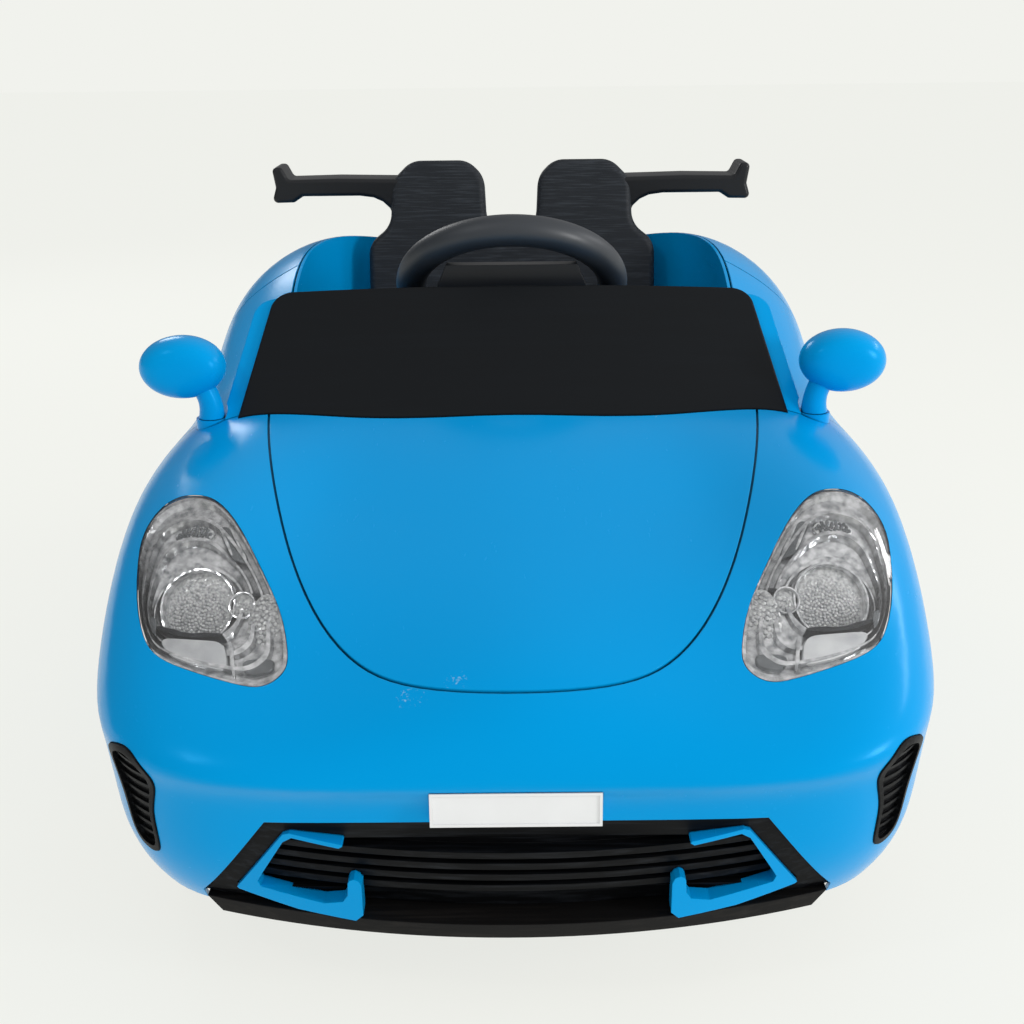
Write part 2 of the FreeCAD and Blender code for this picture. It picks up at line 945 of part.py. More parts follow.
def make_led(sign, a, b, floor, radius):
    axis = lamp_frame(sign)[1]
    base = lamp_point(sign, a, b, floor)
    top = lamp_point(sign, a, b, floor + led_height)
    body = rod(radius, base, top)
    dome = Part.makeSphere(radius, top)
    body = fused([body, dome])
    return body


def make_vents(parts):
    floor = layer(BODY_CAGE, vent_floor - vent_base, vent_floor)
    ribs = layer(BODY_CAGE, rib_top, vent_floor)
    rim = layer(BODY_CAGE, -vent_proud, vent_floor)
    vents = []
    for sign in (1, -1):
        outline = vent_prism(sign, part_gap, -overrun / 2, overrun / 2)
        core = vent_prism(sign, vent_rim, -overrun, overrun)
        pieces = [largest(floor.common(outline)), largest(rim.common(outline.cut(core)))]
        count = int(2 * vent_half_height / rib_pitch)
        bars = []
        for i in range(1, count):
            z = vent_z - vent_half_height + i * rib_pitch
            bar = block(
                -half_width, half_width, -nose_reach - overrun, 0, z - rib_thick / 2, z + rib_thick / 2,
            )
            bars.append(ribs.common(outline.common(bar)))
        pieces += [solid for bar in bars for solid in bar.Solids]
        vents.append(largest(fused(pieces)))
    parts["corner_vents"] = Part.makeCompound(vents)


def trim_shape(sign, grow):
    # Bar that runs round a side opening of the grille and ends in a hooked post
    y = grille_front_y - overrun
    wide = trim_outer_x - trim_inner_x
    tall = trim_top_z - trim_foot_z
    points = [V(sign * (trim_inner_x + a * wide), y, trim_foot_z + b * tall) for a, b in trim_shares]
    face = Part.Face(Part.makePolygon(points + [points[0]]))
    if grow:
        face = face.makeOffset2D(grow)
    bar = face.extrude(BACK * (overrun * 2))
    return bar.common(front_bow(trim_proud + grow, trim_depth + 2 * grow))


def make_grille(parts):
    y = grille_front_y - overrun
    along = BACK * (overrun * 2)
    outline = round_polygon(grille_points(part_gap, grille_foot_z, y), grille_corner).extrude(along)
    window = [
        V(grille_top_half - grille_band, y, grille_top_z - grille_band),
        V(grille_knee_half - grille_band * window_side_share, y, grille_window_z),
        V(grille_band * window_side_share - grille_knee_half, y, grille_window_z),
        V(grille_band - grille_top_half, y, grille_top_z - grille_band),
    ]
    opening = polygon_prism(window, along)
    body = outline.common(front_bow(0, grille_depth)).cut(opening)
    wide = polygon_prism(grille_points(-grille_flange, grille_foot_z, y), along)
    skin = layer(BODY_CAGE, -overrun, wall + seat_gap)
    flange = wide.common(front_bow(0, grille_depth)).cut(opening).cut(skin)
    body = fused([body] + flange.Solids)
    pieces = [body, outline.common(front_bow(backing_thick - grille_depth, backing_thick))]
    rise = (grille_top_z - grille_band - grille_window_z) / (slat_count + 1)
    for i in range(slat_count):
        z = grille_window_z + rise * (i + 1)
        slat = block(-half_width, half_width, y, y + overrun * 2, z - slat_thick / 2, z + slat_thick / 2)
        pieces.append(outline.common(slat).common(front_bow(-slat_back, slat_depth + slat_back)))
    grille = fused(pieces)
    trims = []
    for sign in (1, -1):
        trims.append(largest(trim_shape(sign, 0)))
        grille = grille.cut(trim_shape(sign, seat_gap))
    parts["grille_trims"] = Part.makeCompound(trims)
    parts["front_grille"] = largest(grille)
    lip_points = [
        V(lip_half, y, lip_top_z),
        V(lip_half - grille_corner, y, lip_foot_z),
        V(grille_corner - lip_half, y, lip_foot_z),
        V(-lip_half, y, lip_top_z),
    ]
    lip = polygon_prism(lip_points, BACK * (overrun * 4))
    lip = lip.common(front_bow(lip_proud, lip_depth))
    for sign in (1, -1):
        lip = lip.cut(trim_shape(sign, seat_gap))
    parts["front_lip"] = largest(lip)


def make_plate(parts):
    inner = plate_half - plate_rim
    plate = block(
        -plate_half, plate_half, plate_y - plate_thick, plate_y + overrun / 4, plate_foot_z, plate_top_z,
    )
    sink = block(
        -inner, inner, plate_y - plate_thick - overrun, plate_y - plate_thick + plate_rim_height,
        plate_foot_z + plate_rim, plate_top_z - plate_rim,
    )
    plate = plate.cut(sink).cut(layer(BODY_CAGE, -part_gap / 2, overrun / 3))
    parts["number_plate"] = holding(plate, V(0, plate_y - plate_thick, plate_foot_z))


def screen_way():
    rise = V(0, screen_top_y - screen_foot_y, screen_top_z - screen_foot_z)
    length = rise.Length
    rise.normalize()
    return rise, V(0, -rise.z, rise.y), length


def screen_sheet(widen, lift, thick):
    # Bowed slab in the windscreen's slope, widened past its sides
    rise, out, length = screen_way()
    foot = V(0, screen_foot_y, screen_foot_z)
    low = foot - rise * screen_tuck + out * lift
    high = foot + rise * (length + screen_tuck) + out * lift
    half = screen_foot_half + widen
    bow = V(0, -screen_bow_y, screen_bow_z)
    arcs = []
    for middle in (low, high):
        arcs.append(Part.Arc(middle - SIDE * half, middle + bow, middle + SIDE * half).toShape())
    return Part.makeRuledSurface(arcs[0], arcs[1]).extrude(out * -thick)


def screen_outline(widen, drop):
    rise, out, length = screen_way()
    foot = V(0, screen_foot_y, screen_foot_z) - out * overrun
    slope = (screen_foot_half - screen_top_half) / length
    low_half = screen_foot_half + widen + slope * screen_tuck
    high_half = screen_top_half + widen + slope * drop
    low = foot - rise * screen_tuck
    high = foot + rise * (length - drop)
    points = [
        low - SIDE * low_half, low + SIDE * low_half, high + SIDE * high_half, high - SIDE * high_half,
    ]
    return round_polygon(points, screen_corner).extrude(out * (overrun * 2))


def make_screen(parts):
    below = layer(BODY_CAGE, -part_gap / 2, overrun / 2)
    center = V(0, screen_top_y, screen_top_z)
    panel = screen_sheet(overrun, 0, screen_thick).common(screen_outline(0, 0))
    parts["windscreen"] = holding(panel.cut(below), center)
    surround = screen_sheet(
        overrun, -screen_thick - seat_gap, frame_thick,
    ).common(screen_outline(frame_width, frame_back))
    hollow = screen_outline(-frame_width, frame_back + frame_width)
    surround = surround.cut(hollow).cut(below)
    parts["screen_frame"] = holding(surround, center)


def dash_profile(inset):
    return [
        V(0, dash_front_y + inset, dash_top_z - inset * dash_drop_share),
        V(0, dash_top_y - inset, dash_top_z - inset),
        V(0, dash_face_y - inset, dash_top_z - binnacle_length),
        V(0, dash_foot_y - inset, dash_foot_z),
        V(0, dash_foot_y - inset - dash_thick * 2, dash_foot_z),
    ]


def face_way():
    rise = V(0, dash_face_y - dash_foot_y, dash_top_z - binnacle_length - dash_foot_z).normalize()
    return rise, V(0, rise.z, -rise.y)


def face_point(x, z):
    share = (z - dash_foot_z) / (dash_top_z - binnacle_length - dash_foot_z)
    return V(x, dash_foot_y + share * (dash_face_y - dash_foot_y), z)


def face_block(x, z, half, tall, low, high):
    # Block square to the sloping dash face
    rise, out = face_way()
    base = face_point(x, z) + out * low
    points = [
        base - SIDE * half - rise * tall,
        base + SIDE * half - rise * tall,
        base + SIDE * half + rise * tall,
        base - SIDE * half + rise * tall,
    ]
    return polygon_prism(points, out * (high - low))


def make_dash(parts):
    wide = V(dash_half * 2, 0, 0)
    shift = V(-dash_half, 0, 0)
    outside = polygon_prism([point + shift for point in dash_profile(0)], wide)
    inside = polygon_prism([point + shift - UP * dash_thick for point in dash_profile(dash_thick)], wide)
    dash = outside.cut(inside)
    frame_space = screen_sheet(overrun, 0, screen_thick + frame_thick + part_gap)
    dash = dash.cut(frame_space)
    center = face_point(0, dash_foot_z)
    hole = rod(column_hole, rim_center() - column_axis() * column_length, rim_center())
    dash = dash.cut(hole)
    for sign in (-1, 1):
        dash = dash.cut(
            face_block(
                sign * switch_x, switch_z, switch_half + part_gap, switch_tall + part_gap, -overrun / 2,
                overrun / 3,
            )
        )
    dash = holding(dash, center)
    pod_points = [
        V(-binnacle_half, binnacle_y, dash_top_z - dash_thick / 2),
        V(binnacle_half, binnacle_y, dash_top_z - dash_thick / 2),
        V(binnacle_half - binnacle_length / 2, binnacle_y, binnacle_top_z),
        V(binnacle_length / 2 - binnacle_half, binnacle_y, binnacle_top_z),
    ]
    pod = polygon_prism(pod_points, BACK * (-binnacle_length / 2))
    pod = pod.cut(frame_space.common(screen_outline(frame_width + part_gap, -part_gap)))
    parts["dash_panel"] = largest(fused([dash, largest(pod)]))


def make_switches(parts):
    # A bezel with a rocker on a cross pin, twice
    rise, out = face_way()
    bezels = []
    for sign, name in ((1, "power"), (-1, "direction")):
        x = sign * switch_x
        body = face_block(x, switch_z, switch_half, switch_tall, -switch_depth, 0)
        flange = face_block(
            x, switch_z, switch_half + switch_rim, switch_tall + switch_rim, seat_gap, switch_rim / 2,
        )
        neck = face_block(x, switch_z, switch_half, switch_tall, 0, seat_gap)
        frame = fused([body, neck, flange])
        half = switch_half - switch_rim / 2
        tall = switch_tall - switch_rim / 2
        pocket = face_block(x, switch_z, half, tall, switch_rim - switch_depth, overrun / 4)
        frame = frame.cut(pocket)
        pivot = face_point(x, switch_z) - out * (switch_depth / 3)
        pin_reach = SIDE * (switch_half - switch_rim / 4)
        pin = rod(switch_rim / 2, pivot - pin_reach, pivot + pin_reach)
        frame = frame.cut(rod(switch_rim / 2 + running_gap, pivot - pin_reach, pivot + pin_reach))
        bezels.append(frame)
        parts[name + "_rocker"] = make_rocker(pivot, half - rocker_gap, tall, pin)
    parts["switch_bezels"] = Part.makeCompound(bezels)


def make_rocker(pivot, half, tall, pin):
    rise, out = face_way()
    radius = tall - rocker_gap * 2
    drum = rod(radius, pivot - SIDE * half, pivot + SIDE * half)
    top = pivot + out * (switch_depth / 3 + switch_rim)
    low = pivot - out * (switch_depth / 3)
    slab_points = [
        low - SIDE * half - rise * radius, low + SIDE * half - rise * radius,
        low + SIDE * half + rise * radius, low - SIDE * half + rise * radius,
    ]
    slab = polygon_prism(slab_points, top - low)
    rocker = drum.common(slab)
    dent = radius * rocker_dent_share
    scoop = rod(
        dent, top + out * (dent - switch_rim / 2) - SIDE * overrun,
        top + out * (dent - switch_rim / 2) + SIDE * overrun,
    )
    return fused([rocker.cut(scoop), pin])


def make_seat(parts):
    body_side = layer(LINER_CAGE, -overrun, liner_wall + part_gap)
    bench = block(-half_width, half_width, bench_front_y, bench_rear_y, bench_z, bench_z + bench_thick)
    dish_center = V(
        0, (bench_front_y + bench_rear_y) / 2, bench_z + bench_thick + bench_dish - bench_dish_depth,
    )
    dish = rod(bench_dish, dish_center - BACK * bench_dish, dish_center + BACK * bench_dish)
    skirt = block(
        -skirt_reach, skirt_reach, bench_front_y, bench_front_y + bench_skirt, bench_foot_z, bench_z,
    )
    bench = holding(bench.cut(dish).cut(body_side), V(0, bench_front_y, bench_z))
    seat = fused([bench, skirt])
    parts["seat_base"] = largest(seat)
    parts["seat_back"] = make_seat_back()


def lean_point(x, z, out):
    # Place on the leaning plane of the seat back
    tilt = math.tan(back_lean)
    return V(x, back_y + (z - back_z) * tilt + out, z)


def make_seat_back():
    right = [
        lean_point(back_half, back_foot_z, 0),
        lean_point(back_half, shoulder_z, 0),
        lean_point(head_outer, neck_z, 0),
        lean_point(head_outer - part_gap, head_top_z - head_round, 0),
        lean_point(head_outer - head_round, head_top_z, 0),
        lean_point(head_inner + head_drop, head_top_z, 0),
        lean_point(head_inner + head_slope, head_top_z - head_drop, 0),
        lean_point(head_inner - part_gap, valley_z, 0),
    ]
    left = [V(-point.x, point.y, point.z) for point in reversed(right)]
    face = round_polygon(right + left, head_inner * back_corner_share)
    normal = V(0, math.cos(back_lean), -math.sin(back_lean))
    solid = face.extrude(normal * back_thick)
    return softened(solid, back_round, normal)


def softened(solid, radius, way):
    # Rounds the edges that lie square to the given direction, where the form allows it
    edges = []
    for edge in solid.Edges:
        if abs(edge.tangentAt(edge.FirstParameter).dot(way)) < face_edge_share:
            edges.append(edge)
    try:
        return solid.makeFillet(radius, edges)
    except Part.OCCError:
        return solid


def make_wings(parts):
    seat = parts["seat_back"]
    span = wing_tip_x - wing_root_x
    rise = wing_top_z - wing_root_z
    wings = []
    for sign in (1, -1):
        outline = [
            V(sign * (wing_root_x + a * span), wing_y, wing_root_z + b * rise)
            for a, b in wing_shares
        ]
        arm = softened(loop_prism(outline, BACK * wing_chord), wing_round, BACK)
        for shift in (ORIGIN, SIDE * (sign * seat_gap), BACK * seat_gap):
            block_out = seat.copy()
            block_out.translate(shift)
            arm = arm.cut(block_out)
        arm = largest(arm)
        fore = wing_y - fin_fore
        aft = wing_y + wing_chord + fin_aft
        x = sign * wing_tip_x
        fin_points = [
            V(x, fore, fin_foot_z + fin_slope),
            V(x, aft, fin_foot_z),
            V(x, aft, fin_top_z),
            V(x, fore + fin_slope, fin_top_z - fin_slope),
        ]
        fin = round_polygon(fin_points, wing_round).extrude(SIDE * (sign * fin_thick))
        fin = softened(fin, fin_round, SIDE)
        wings.append(largest(fused([arm, fin])))
    parts["rear_wings"] = Part.makeCompound(wings)


def egg_shape(middle):
    # Egg-shaped head, round end forward, flat face to the rear
    cage = []
    for ahead, size in egg_shares:
        ring = []
        for i in range(skin_columns):
            angle = 2 * math.pi * i / skin_columns
            across = SIDE * (mirror_half_wide * size * math.cos(angle))
            ring.append(
                middle + across - BACK * (mirror_half_deep * ahead) + UP * (
                    mirror_half_tall * size * math.sin(angle)
                )
            )
        cage.append(ring)
    skin = skin_face(cage)
    rings = [edge for edge in skin.Edges if edge.isClosed()]
    faces = [skin] + [Part.Face(Part.Wire([edge])) for edge in rings]
    sheet = Part.makeCompound(faces)
    sheet.sewShape()
    solid = Part.makeSolid(sheet.Shells[0])
    if solid.Volume < 0:
        solid.reverse()
    return solid


def oval_prism(middle, half_wide, half_tall, depth):
    ellipse = Part.Ellipse(middle + SIDE * half_wide, middle + UP * half_tall, middle)
    return Part.Face(Part.Wire([ellipse.toShape()])).extrude(BACK * depth)


def make_mirrors(parts):
    glass_wide = mirror_half_wide * glass_share
    glass_tall = mirror_half_tall * glass_share
    face_depth = -mirror_half_deep * egg_shares[-1][0]
    sockets = []
    for side, sign in (("left", 1), ("right", -1)):
        middle = V(sign * mirror_x, mirror_y, mirror_z)
        face = middle + BACK * face_depth
        floor = face - BACK * glass_inset
        glass_floor = floor + BACK * seat_gap
        base = V(sign * stem_x, stem_y, socket_top_z + part_gap)
        inward = SIDE * (sign * mirror_half_wide / 4)
        top = middle - inward - BACK * (mirror_half_tall / 6) - UP * (mirror_half_tall / 3)
        rings = []
        waist = base + UP * stem_radius
        for center, radius, way in (
            (base, stem_radius, UP),
            (waist, stem_radius * stem_waist_share, UP),
            (top, stem_top_radius, top - base),
        ):
            rings.append(Part.Wire([Part.makeCircle(radius, center, way)]))
        stem = Part.makeLoft(rings, True)
        peg = rod(peg_radius, base - UP * peg_length, base + UP * peg_radius)
        housing = fused([egg_shape(middle), stem, peg])
        parts["mirror_housing_" + side] = largest(
            housing.cut(oval_prism(floor, glass_wide, glass_tall, overrun))
        )
        glass_depth = glass_inset - 2 * seat_gap
        parts["mirror_glass_" + side] = oval_prism(
            glass_floor, glass_wide - part_gap, glass_tall - part_gap, glass_depth,
        )
        foot = V(sign * stem_x, stem_y, socket_foot_z)
        socket = rod(socket_radius, foot, V(foot.x, foot.y, socket_top_z))
        hole = rod(peg_radius + running_gap, base - UP * (peg_length + moving_gap), base + UP * overrun)
        sockets.append(socket.cut(hole))
        room = rod(socket_radius + part_gap, foot - UP * overrun, foot + UP * (2 * overrun))
        parts["screen_frame"] = largest(parts["screen_frame"].cut(room))
    parts["mirror_sockets"] = Part.makeCompound(sockets)


def revolve_profile(points, base, axis):
    face = Part.Face(Part.makePolygon(points + [points[0]]))
    return face.revolve(base, axis, 360)


def make_wheel_shape(bore):
    # Hollow moulded wheel about the X axis at the origin, outer side towards +X
    half = wheel_width / 2
    shoulder = tread_depth * 2
    points = [
        V(-half, bore, 0),
        V(-half, hub_radius, 0),
        V(-web_thick, hub_radius, 0),
        V(-web_thick, rim_radius - web_thick, 0),
        V(-half, rim_radius, 0),
        V(-half, wheel_radius - shoulder, 0),
        V(shoulder - half, wheel_radius, 0),
        V(half - shoulder, wheel_radius, 0),
        V(half, wheel_radius - shoulder, 0),
        V(half, rim_radius, 0),
        V(half - rim_dish, rim_radius - web_thick / 3, 0),
        V(half - rim_dish, bore, 0),
    ]
    inner = [
        V(0, hub_radius + web_thick, 0),
        V(half - rim_dish - web_thick, hub_radius + web_thick, 0),
        V(half - rim_dish - web_thick, rim_radius, 0),
        V(half - web_thick, rim_radius + web_thick, 0),
        V(half - web_thick, wheel_radius - shoulder - web_thick, 0),
        V(web_thick - half, wheel_radius - shoulder - web_thick, 0),
        V(web_thick - half, rim_radius + web_thick, 0),
        V(0, rim_radius, 0),
    ]
    wheel = revolve_profile(points, ORIGIN, SIDE).cut(revolve_profile(inner, ORIGIN, SIDE))
    cutters = []
    for sign in (-1, 1):
        edge = sign * half
        start = min(edge, edge - sign * tread_reach)
        stop = max(edge, edge - sign * tread_reach)
        groove = block(
            start, stop, -tread_width / 2, tread_width / 2, wheel_radius - tread_depth,
            wheel_radius + tread_depth,
        )
        for i in range(tread_count):
            angle = 2 * math.pi * (i + (0.5 if sign > 0 else 0)) / tread_count
            cutters.append(turned(groove, ORIGIN, SIDE, angle))
    return wheel.cut(Part.makeCompound(cutters))


def make_cover_shape():
    # Five-spoke trim disc with a domed cap, outer side towards +X
    half = wheel_width / 2
    back = half - rim_dish + cover_gap
    front = back + cover_thick
    points = [
        V(back, 0, 0),
        V(back, cover_radius, 0),
        V(half - cover_thick, cover_radius, 0),
        V(half - cover_thick, cover_radius - cover_thick, 0),
        V(front, cover_radius - cover_thick * 3, 0),
        V(front, hub_radius + cover_thick * 2, 0),
        V(half - cover_thick, cap_radius, 0),
        V(half - cover_thick + cap_rise / 2, cap_radius * cap_flat_share, 0),
        V(half - cover_thick + cap_rise, 0, 0),
    ]
    cover = revolve_profile(points, ORIGIN, SIDE)
    cavity = rod(axle_nut_radius + cover_thick / 3, ORIGIN, V(half - cover_thick - cap_rise / 5, 0, 0))
    cover = cover.cut(cavity)
    half_angle = window_angle / 2
    for i in range(spoke_count):
        start = 2 * math.pi * i / spoke_count
        corners = []
        for radius, angle in (
            (window_inner, -half_angle * window_inner_share), (window_outer, -half_angle),
            (window_outer, half_angle), (window_inner, half_angle * window_inner_share),
        ):
            corners.append(V(0, radius * math.cos(start + angle), radius * math.sin(start + angle)))
        window = round_polygon(corners, cover_thick).extrude(SIDE * wheel_width)
        cover = cover.cut(window)
    return cover


def make_wheels(parts):
    front = make_wheel_shape(stub_radius + running_gap)
    rear = make_wheel_shape(axle_radius + running_gap)
    cover = make_cover_shape()
    half = wheel_width / 2
    for end, y, shape in (("front", front_axle_y, front), ("rear", rear_axle_y, rear)):
        wheel = shape
        disc = cover
        for side, sign in (("left", 1), ("right", -1)):
            place = V(sign * wheel_x, y, wheel_radius)
            tyre = wheel if sign > 0 else mirrored(wheel)
            if end == "rear" and sign > 0:
                tyre = tyre.cut(dog_shape(dog_gap, -half, dog_reach - half + dog_gap))
            cap = disc if sign > 0 else mirrored(disc)
            tyre = tyre.copy()
            cap = cap.copy()
            tyre.translate(place)
            cap.translate(place)
            parts["wheel_" + end + "_" + side] = largest(tyre)
            parts["wheel_cover_" + end + "_" + side] = largest(cap)


def dog_shape(grow, start, stop):
    # Three driving dogs round the hub, about the X axis at the origin
    dogs = []
    for i in range(dog_count):
        dog = block(start, stop, -dog_half - grow, dog_half + grow, hub_inner() - grow, dog_radius + grow)
        dogs.append(turned(dog, ORIGIN, SIDE, 2 * math.pi * i / dog_count))
    return Part.makeCompound(dogs)


def hub_inner():
    return axle_radius + boss_wall - part_gap


def make_axles(parts):
    tip = wheel_x + wheel_width / 2 - rim_dish + nut_gap + axle_nut_thick
    axle = rod(axle_radius, V(-tip, rear_axle_y, wheel_radius), V(tip, rear_axle_y, wheel_radius))
    nuts = []
    for sign in (-1, 1):
        start = V(sign * (tip - axle_nut_thick), rear_axle_y, wheel_radius)
        end = V(sign * tip, rear_axle_y, wheel_radius)
        nuts.append(hex_nut(start, end, axle_radius))
    parts["rear_axle"] = Part.makeCompound([axle] + nuts)


def stub_nut(sign, king_y):
    tip = wheel_x + wheel_width / 2 - rim_dish + nut_gap + axle_nut_thick
    start = V(sign * (tip - axle_nut_thick), king_y, wheel_radius)
    end = V(sign * tip, king_y, wheel_radius)
    return hex_nut(start, end, stub_radius)


def hex_nut(start, end, bore):
    points = []
    for i in range(6):
        angle = math.pi * i / 3
        points.append(start + V(0, axle_nut_radius * math.cos(angle), axle_nut_radius * math.sin(angle)))
    return polygon_prism(points, end - start).cut(rod(bore + running_gap, start * 2 - end, end * 2 - start))


def make_steering(parts):
    axis = column_axis()
    center = rim_center()
    up = crank_way() * -1
    ring = Part.makeTorus(steer_rim_radius, steer_tube, center, axis)
    hub_low = center - axis * hub_drop
    pieces = [ring, rod(hub_pad_radius, hub_low, hub_low + axis * (hub_pad_thick / 2))]
    ways = (
        SIDE * math.cos(spoke_half_angle) + up * math.sin(spoke_half_angle) * -1,
        SIDE * -math.cos(spoke_half_angle) + up * math.sin(spoke_half_angle) * -1,
        up * -1,
    )
    lines = []
    for way in ways:
        start = hub_low + axis * (hub_pad_thick / 4) + way * (hub_pad_radius / 2)
        end = center + way * steer_rim_radius
        lines.append((start, end))
        pieces.append(rod(spoke_tube, start, end))
    pieces.append(rod(column_radius * 2, hub_low - axis * hub_drop, hub_low))
    wheel = fused(pieces)
    socket = rod(
        column_radius + running_gap, hub_low - axis * (hub_drop + overrun),
        hub_low + axis * (hub_pad_thick / 3),
    )
    wheel = wheel.cut(socket)
    pad_low = hub_low + axis * (hub_pad_thick / 2 + seat_gap)
    pad_top = pad_low + axis * (hub_pad_thick / 2)
    pad = rod(hub_pad_radius, pad_low, pad_top)
    rim_edges = [
        edge
        for edge in pad.Edges
        if isinstance(edge.Curve, Part.Circle) and edge.CenterOfMass.distanceToPoint(pad_top) < part_gap
    ]
    pad = pad.makeFillet(wing_round, rim_edges)
    for start, end in lines:
        pad = pad.cut(rod(spoke_tube + part_gap, start - (end - start).normalize() * part_gap, end))
    for sign, name in ((1, "horn"), (-1, "music")):
        place = SIDE * (sign * button_spread)
        floor = pad_top + place - axis * button_depth
        pad = pad.cut(rod(button_radius + part_gap, floor, floor + axis * overrun))
        rest = floor + axis * (button_travel + moving_gap)
        button = rod(button_radius, rest, pad_top + place + axis * button_proud)
        crown = [
            edge
            for edge in button.Edges
            if isinstance(edge.Curve, Part.Circle) and edge.CenterOfMass.distanceToPoint(
                pad_top + place + axis * button_proud
            ) < part_gap
        ]
        parts[name + "_button"] = button.makeFillet(button_skirt, crown)
    parts["steering_wheel"] = largest(wheel)
    parts["steering_pad"] = pad
    column_top = hub_low + axis * (hub_pad_thick / 4)
    foot = center - axis * column_length
    elbow = foot + crank_way() * crank_radius
    column = [
        rod(column_radius, foot, column_top),
        Part.makeSphere(column_radius, foot),
        rod(column_radius, foot, elbow),
        Part.makeSphere(column_radius, elbow),
        rod(pin_radius, elbow, elbow - axis * pin_length),
    ]
    parts["steering_column"] = fused(column)


def tie_line_y():
    foot = rim_center() - column_axis() * column_length
    elbow = foot + crank_way() * crank_radius
    drop = (elbow.z - tie_z) / math.sin(column_rise)
    return elbow.y - drop * math.cos(column_rise)


def make_knuckles(parts):
    pin_y = tie_line_y()
    tip = wheel_x + wheel_width / 2 - rim_dish + nut_gap + axle_nut_thick
    arm_foot = tie_z + tie_thick / 2 + moving_gap
    king_y = front_axle_y
    king = V(kingpin_x, king_y, 0)
    collar_top = sleeve_foot_z - moving_gap
    pieces = [
        rod(kingpin_radius, king + UP * kingpin_foot_z, king + UP * kingpin_top_z),
        rod(collar_radius, king + UP * arm_foot, king + UP * collar_top),
        rod(stub_radius, king + UP * wheel_radius, V(tip, king_y, wheel_radius)),
        capsule(king + UP * arm_foot, V(kingpin_x, pin_y, arm_foot), arm_width / 2, UP * arm_thick),
        rod(
            arm_pin_radius, V(kingpin_x, pin_y, tie_z - tie_thick),
            V(kingpin_x, pin_y, arm_foot + arm_thick / 2),
        ),
    ]
    shoulder_end = wheel_x - wheel_width / 2 - moving_gap
    pieces.append(
        rod(collar_radius, V(kingpin_x, king_y, wheel_radius), V(shoulder_end, king_y, wheel_radius))
    )
    knuckle = fused(pieces)
    parts["knuckle_left"] = knuckle
    parts["knuckle_right"] = mirrored(knuckle)
    keepers = []
    clip_foot = sleeve_top_z + moving_gap
    for sign in (1, -1):
        place = V(sign * kingpin_x, king_y, 0)
        clip = rod(collar_radius, place + UP * clip_foot, place + UP * (clip_foot + clip_thick))
        keepers.append(clip.cut(rod(kingpin_radius + running_gap, place, place + UP * skin_height)))
    parts["knuckle_keepers_left"] = Part.makeCompound([keepers[0], stub_nut(1, king_y)])
    parts["knuckle_keepers_right"] = Part.makeCompound([keepers[1], stub_nut(-1, king_y)])
    make_tie_rod(parts, pin_y)


def make_tie_rod(parts, pin_y):
    low = tie_z - tie_thick / 2
    along = UP * tie_thick
    bar = capsule(V(-kingpin_x, pin_y, low), V(kingpin_x, pin_y, low), tie_width / 2, along)
    slot_half = pin_radius + slot_gap
    pad = capsule(
        V(0, pin_y - slot_fore, low), V(0, pin_y + slot_aft, low), slot_half + tie_width / 2, along,
    )
    slot = capsule(
        V(
            0, pin_y - slot_fore + slot_half, low - overrun,
        ), V(0, pin_y + slot_aft - slot_half, low - overrun), slot_half, UP * (overrun * 2),
    )
    tie = fused([bar, pad]).cut(slot)
    for sign in (-1, 1):
        place = V(sign * kingpin_x, pin_y, 0)
        tie = tie.cut(rod(arm_pin_radius + tie_gap, place, place + UP * skin_height))
    parts["tie_rod"] = tie


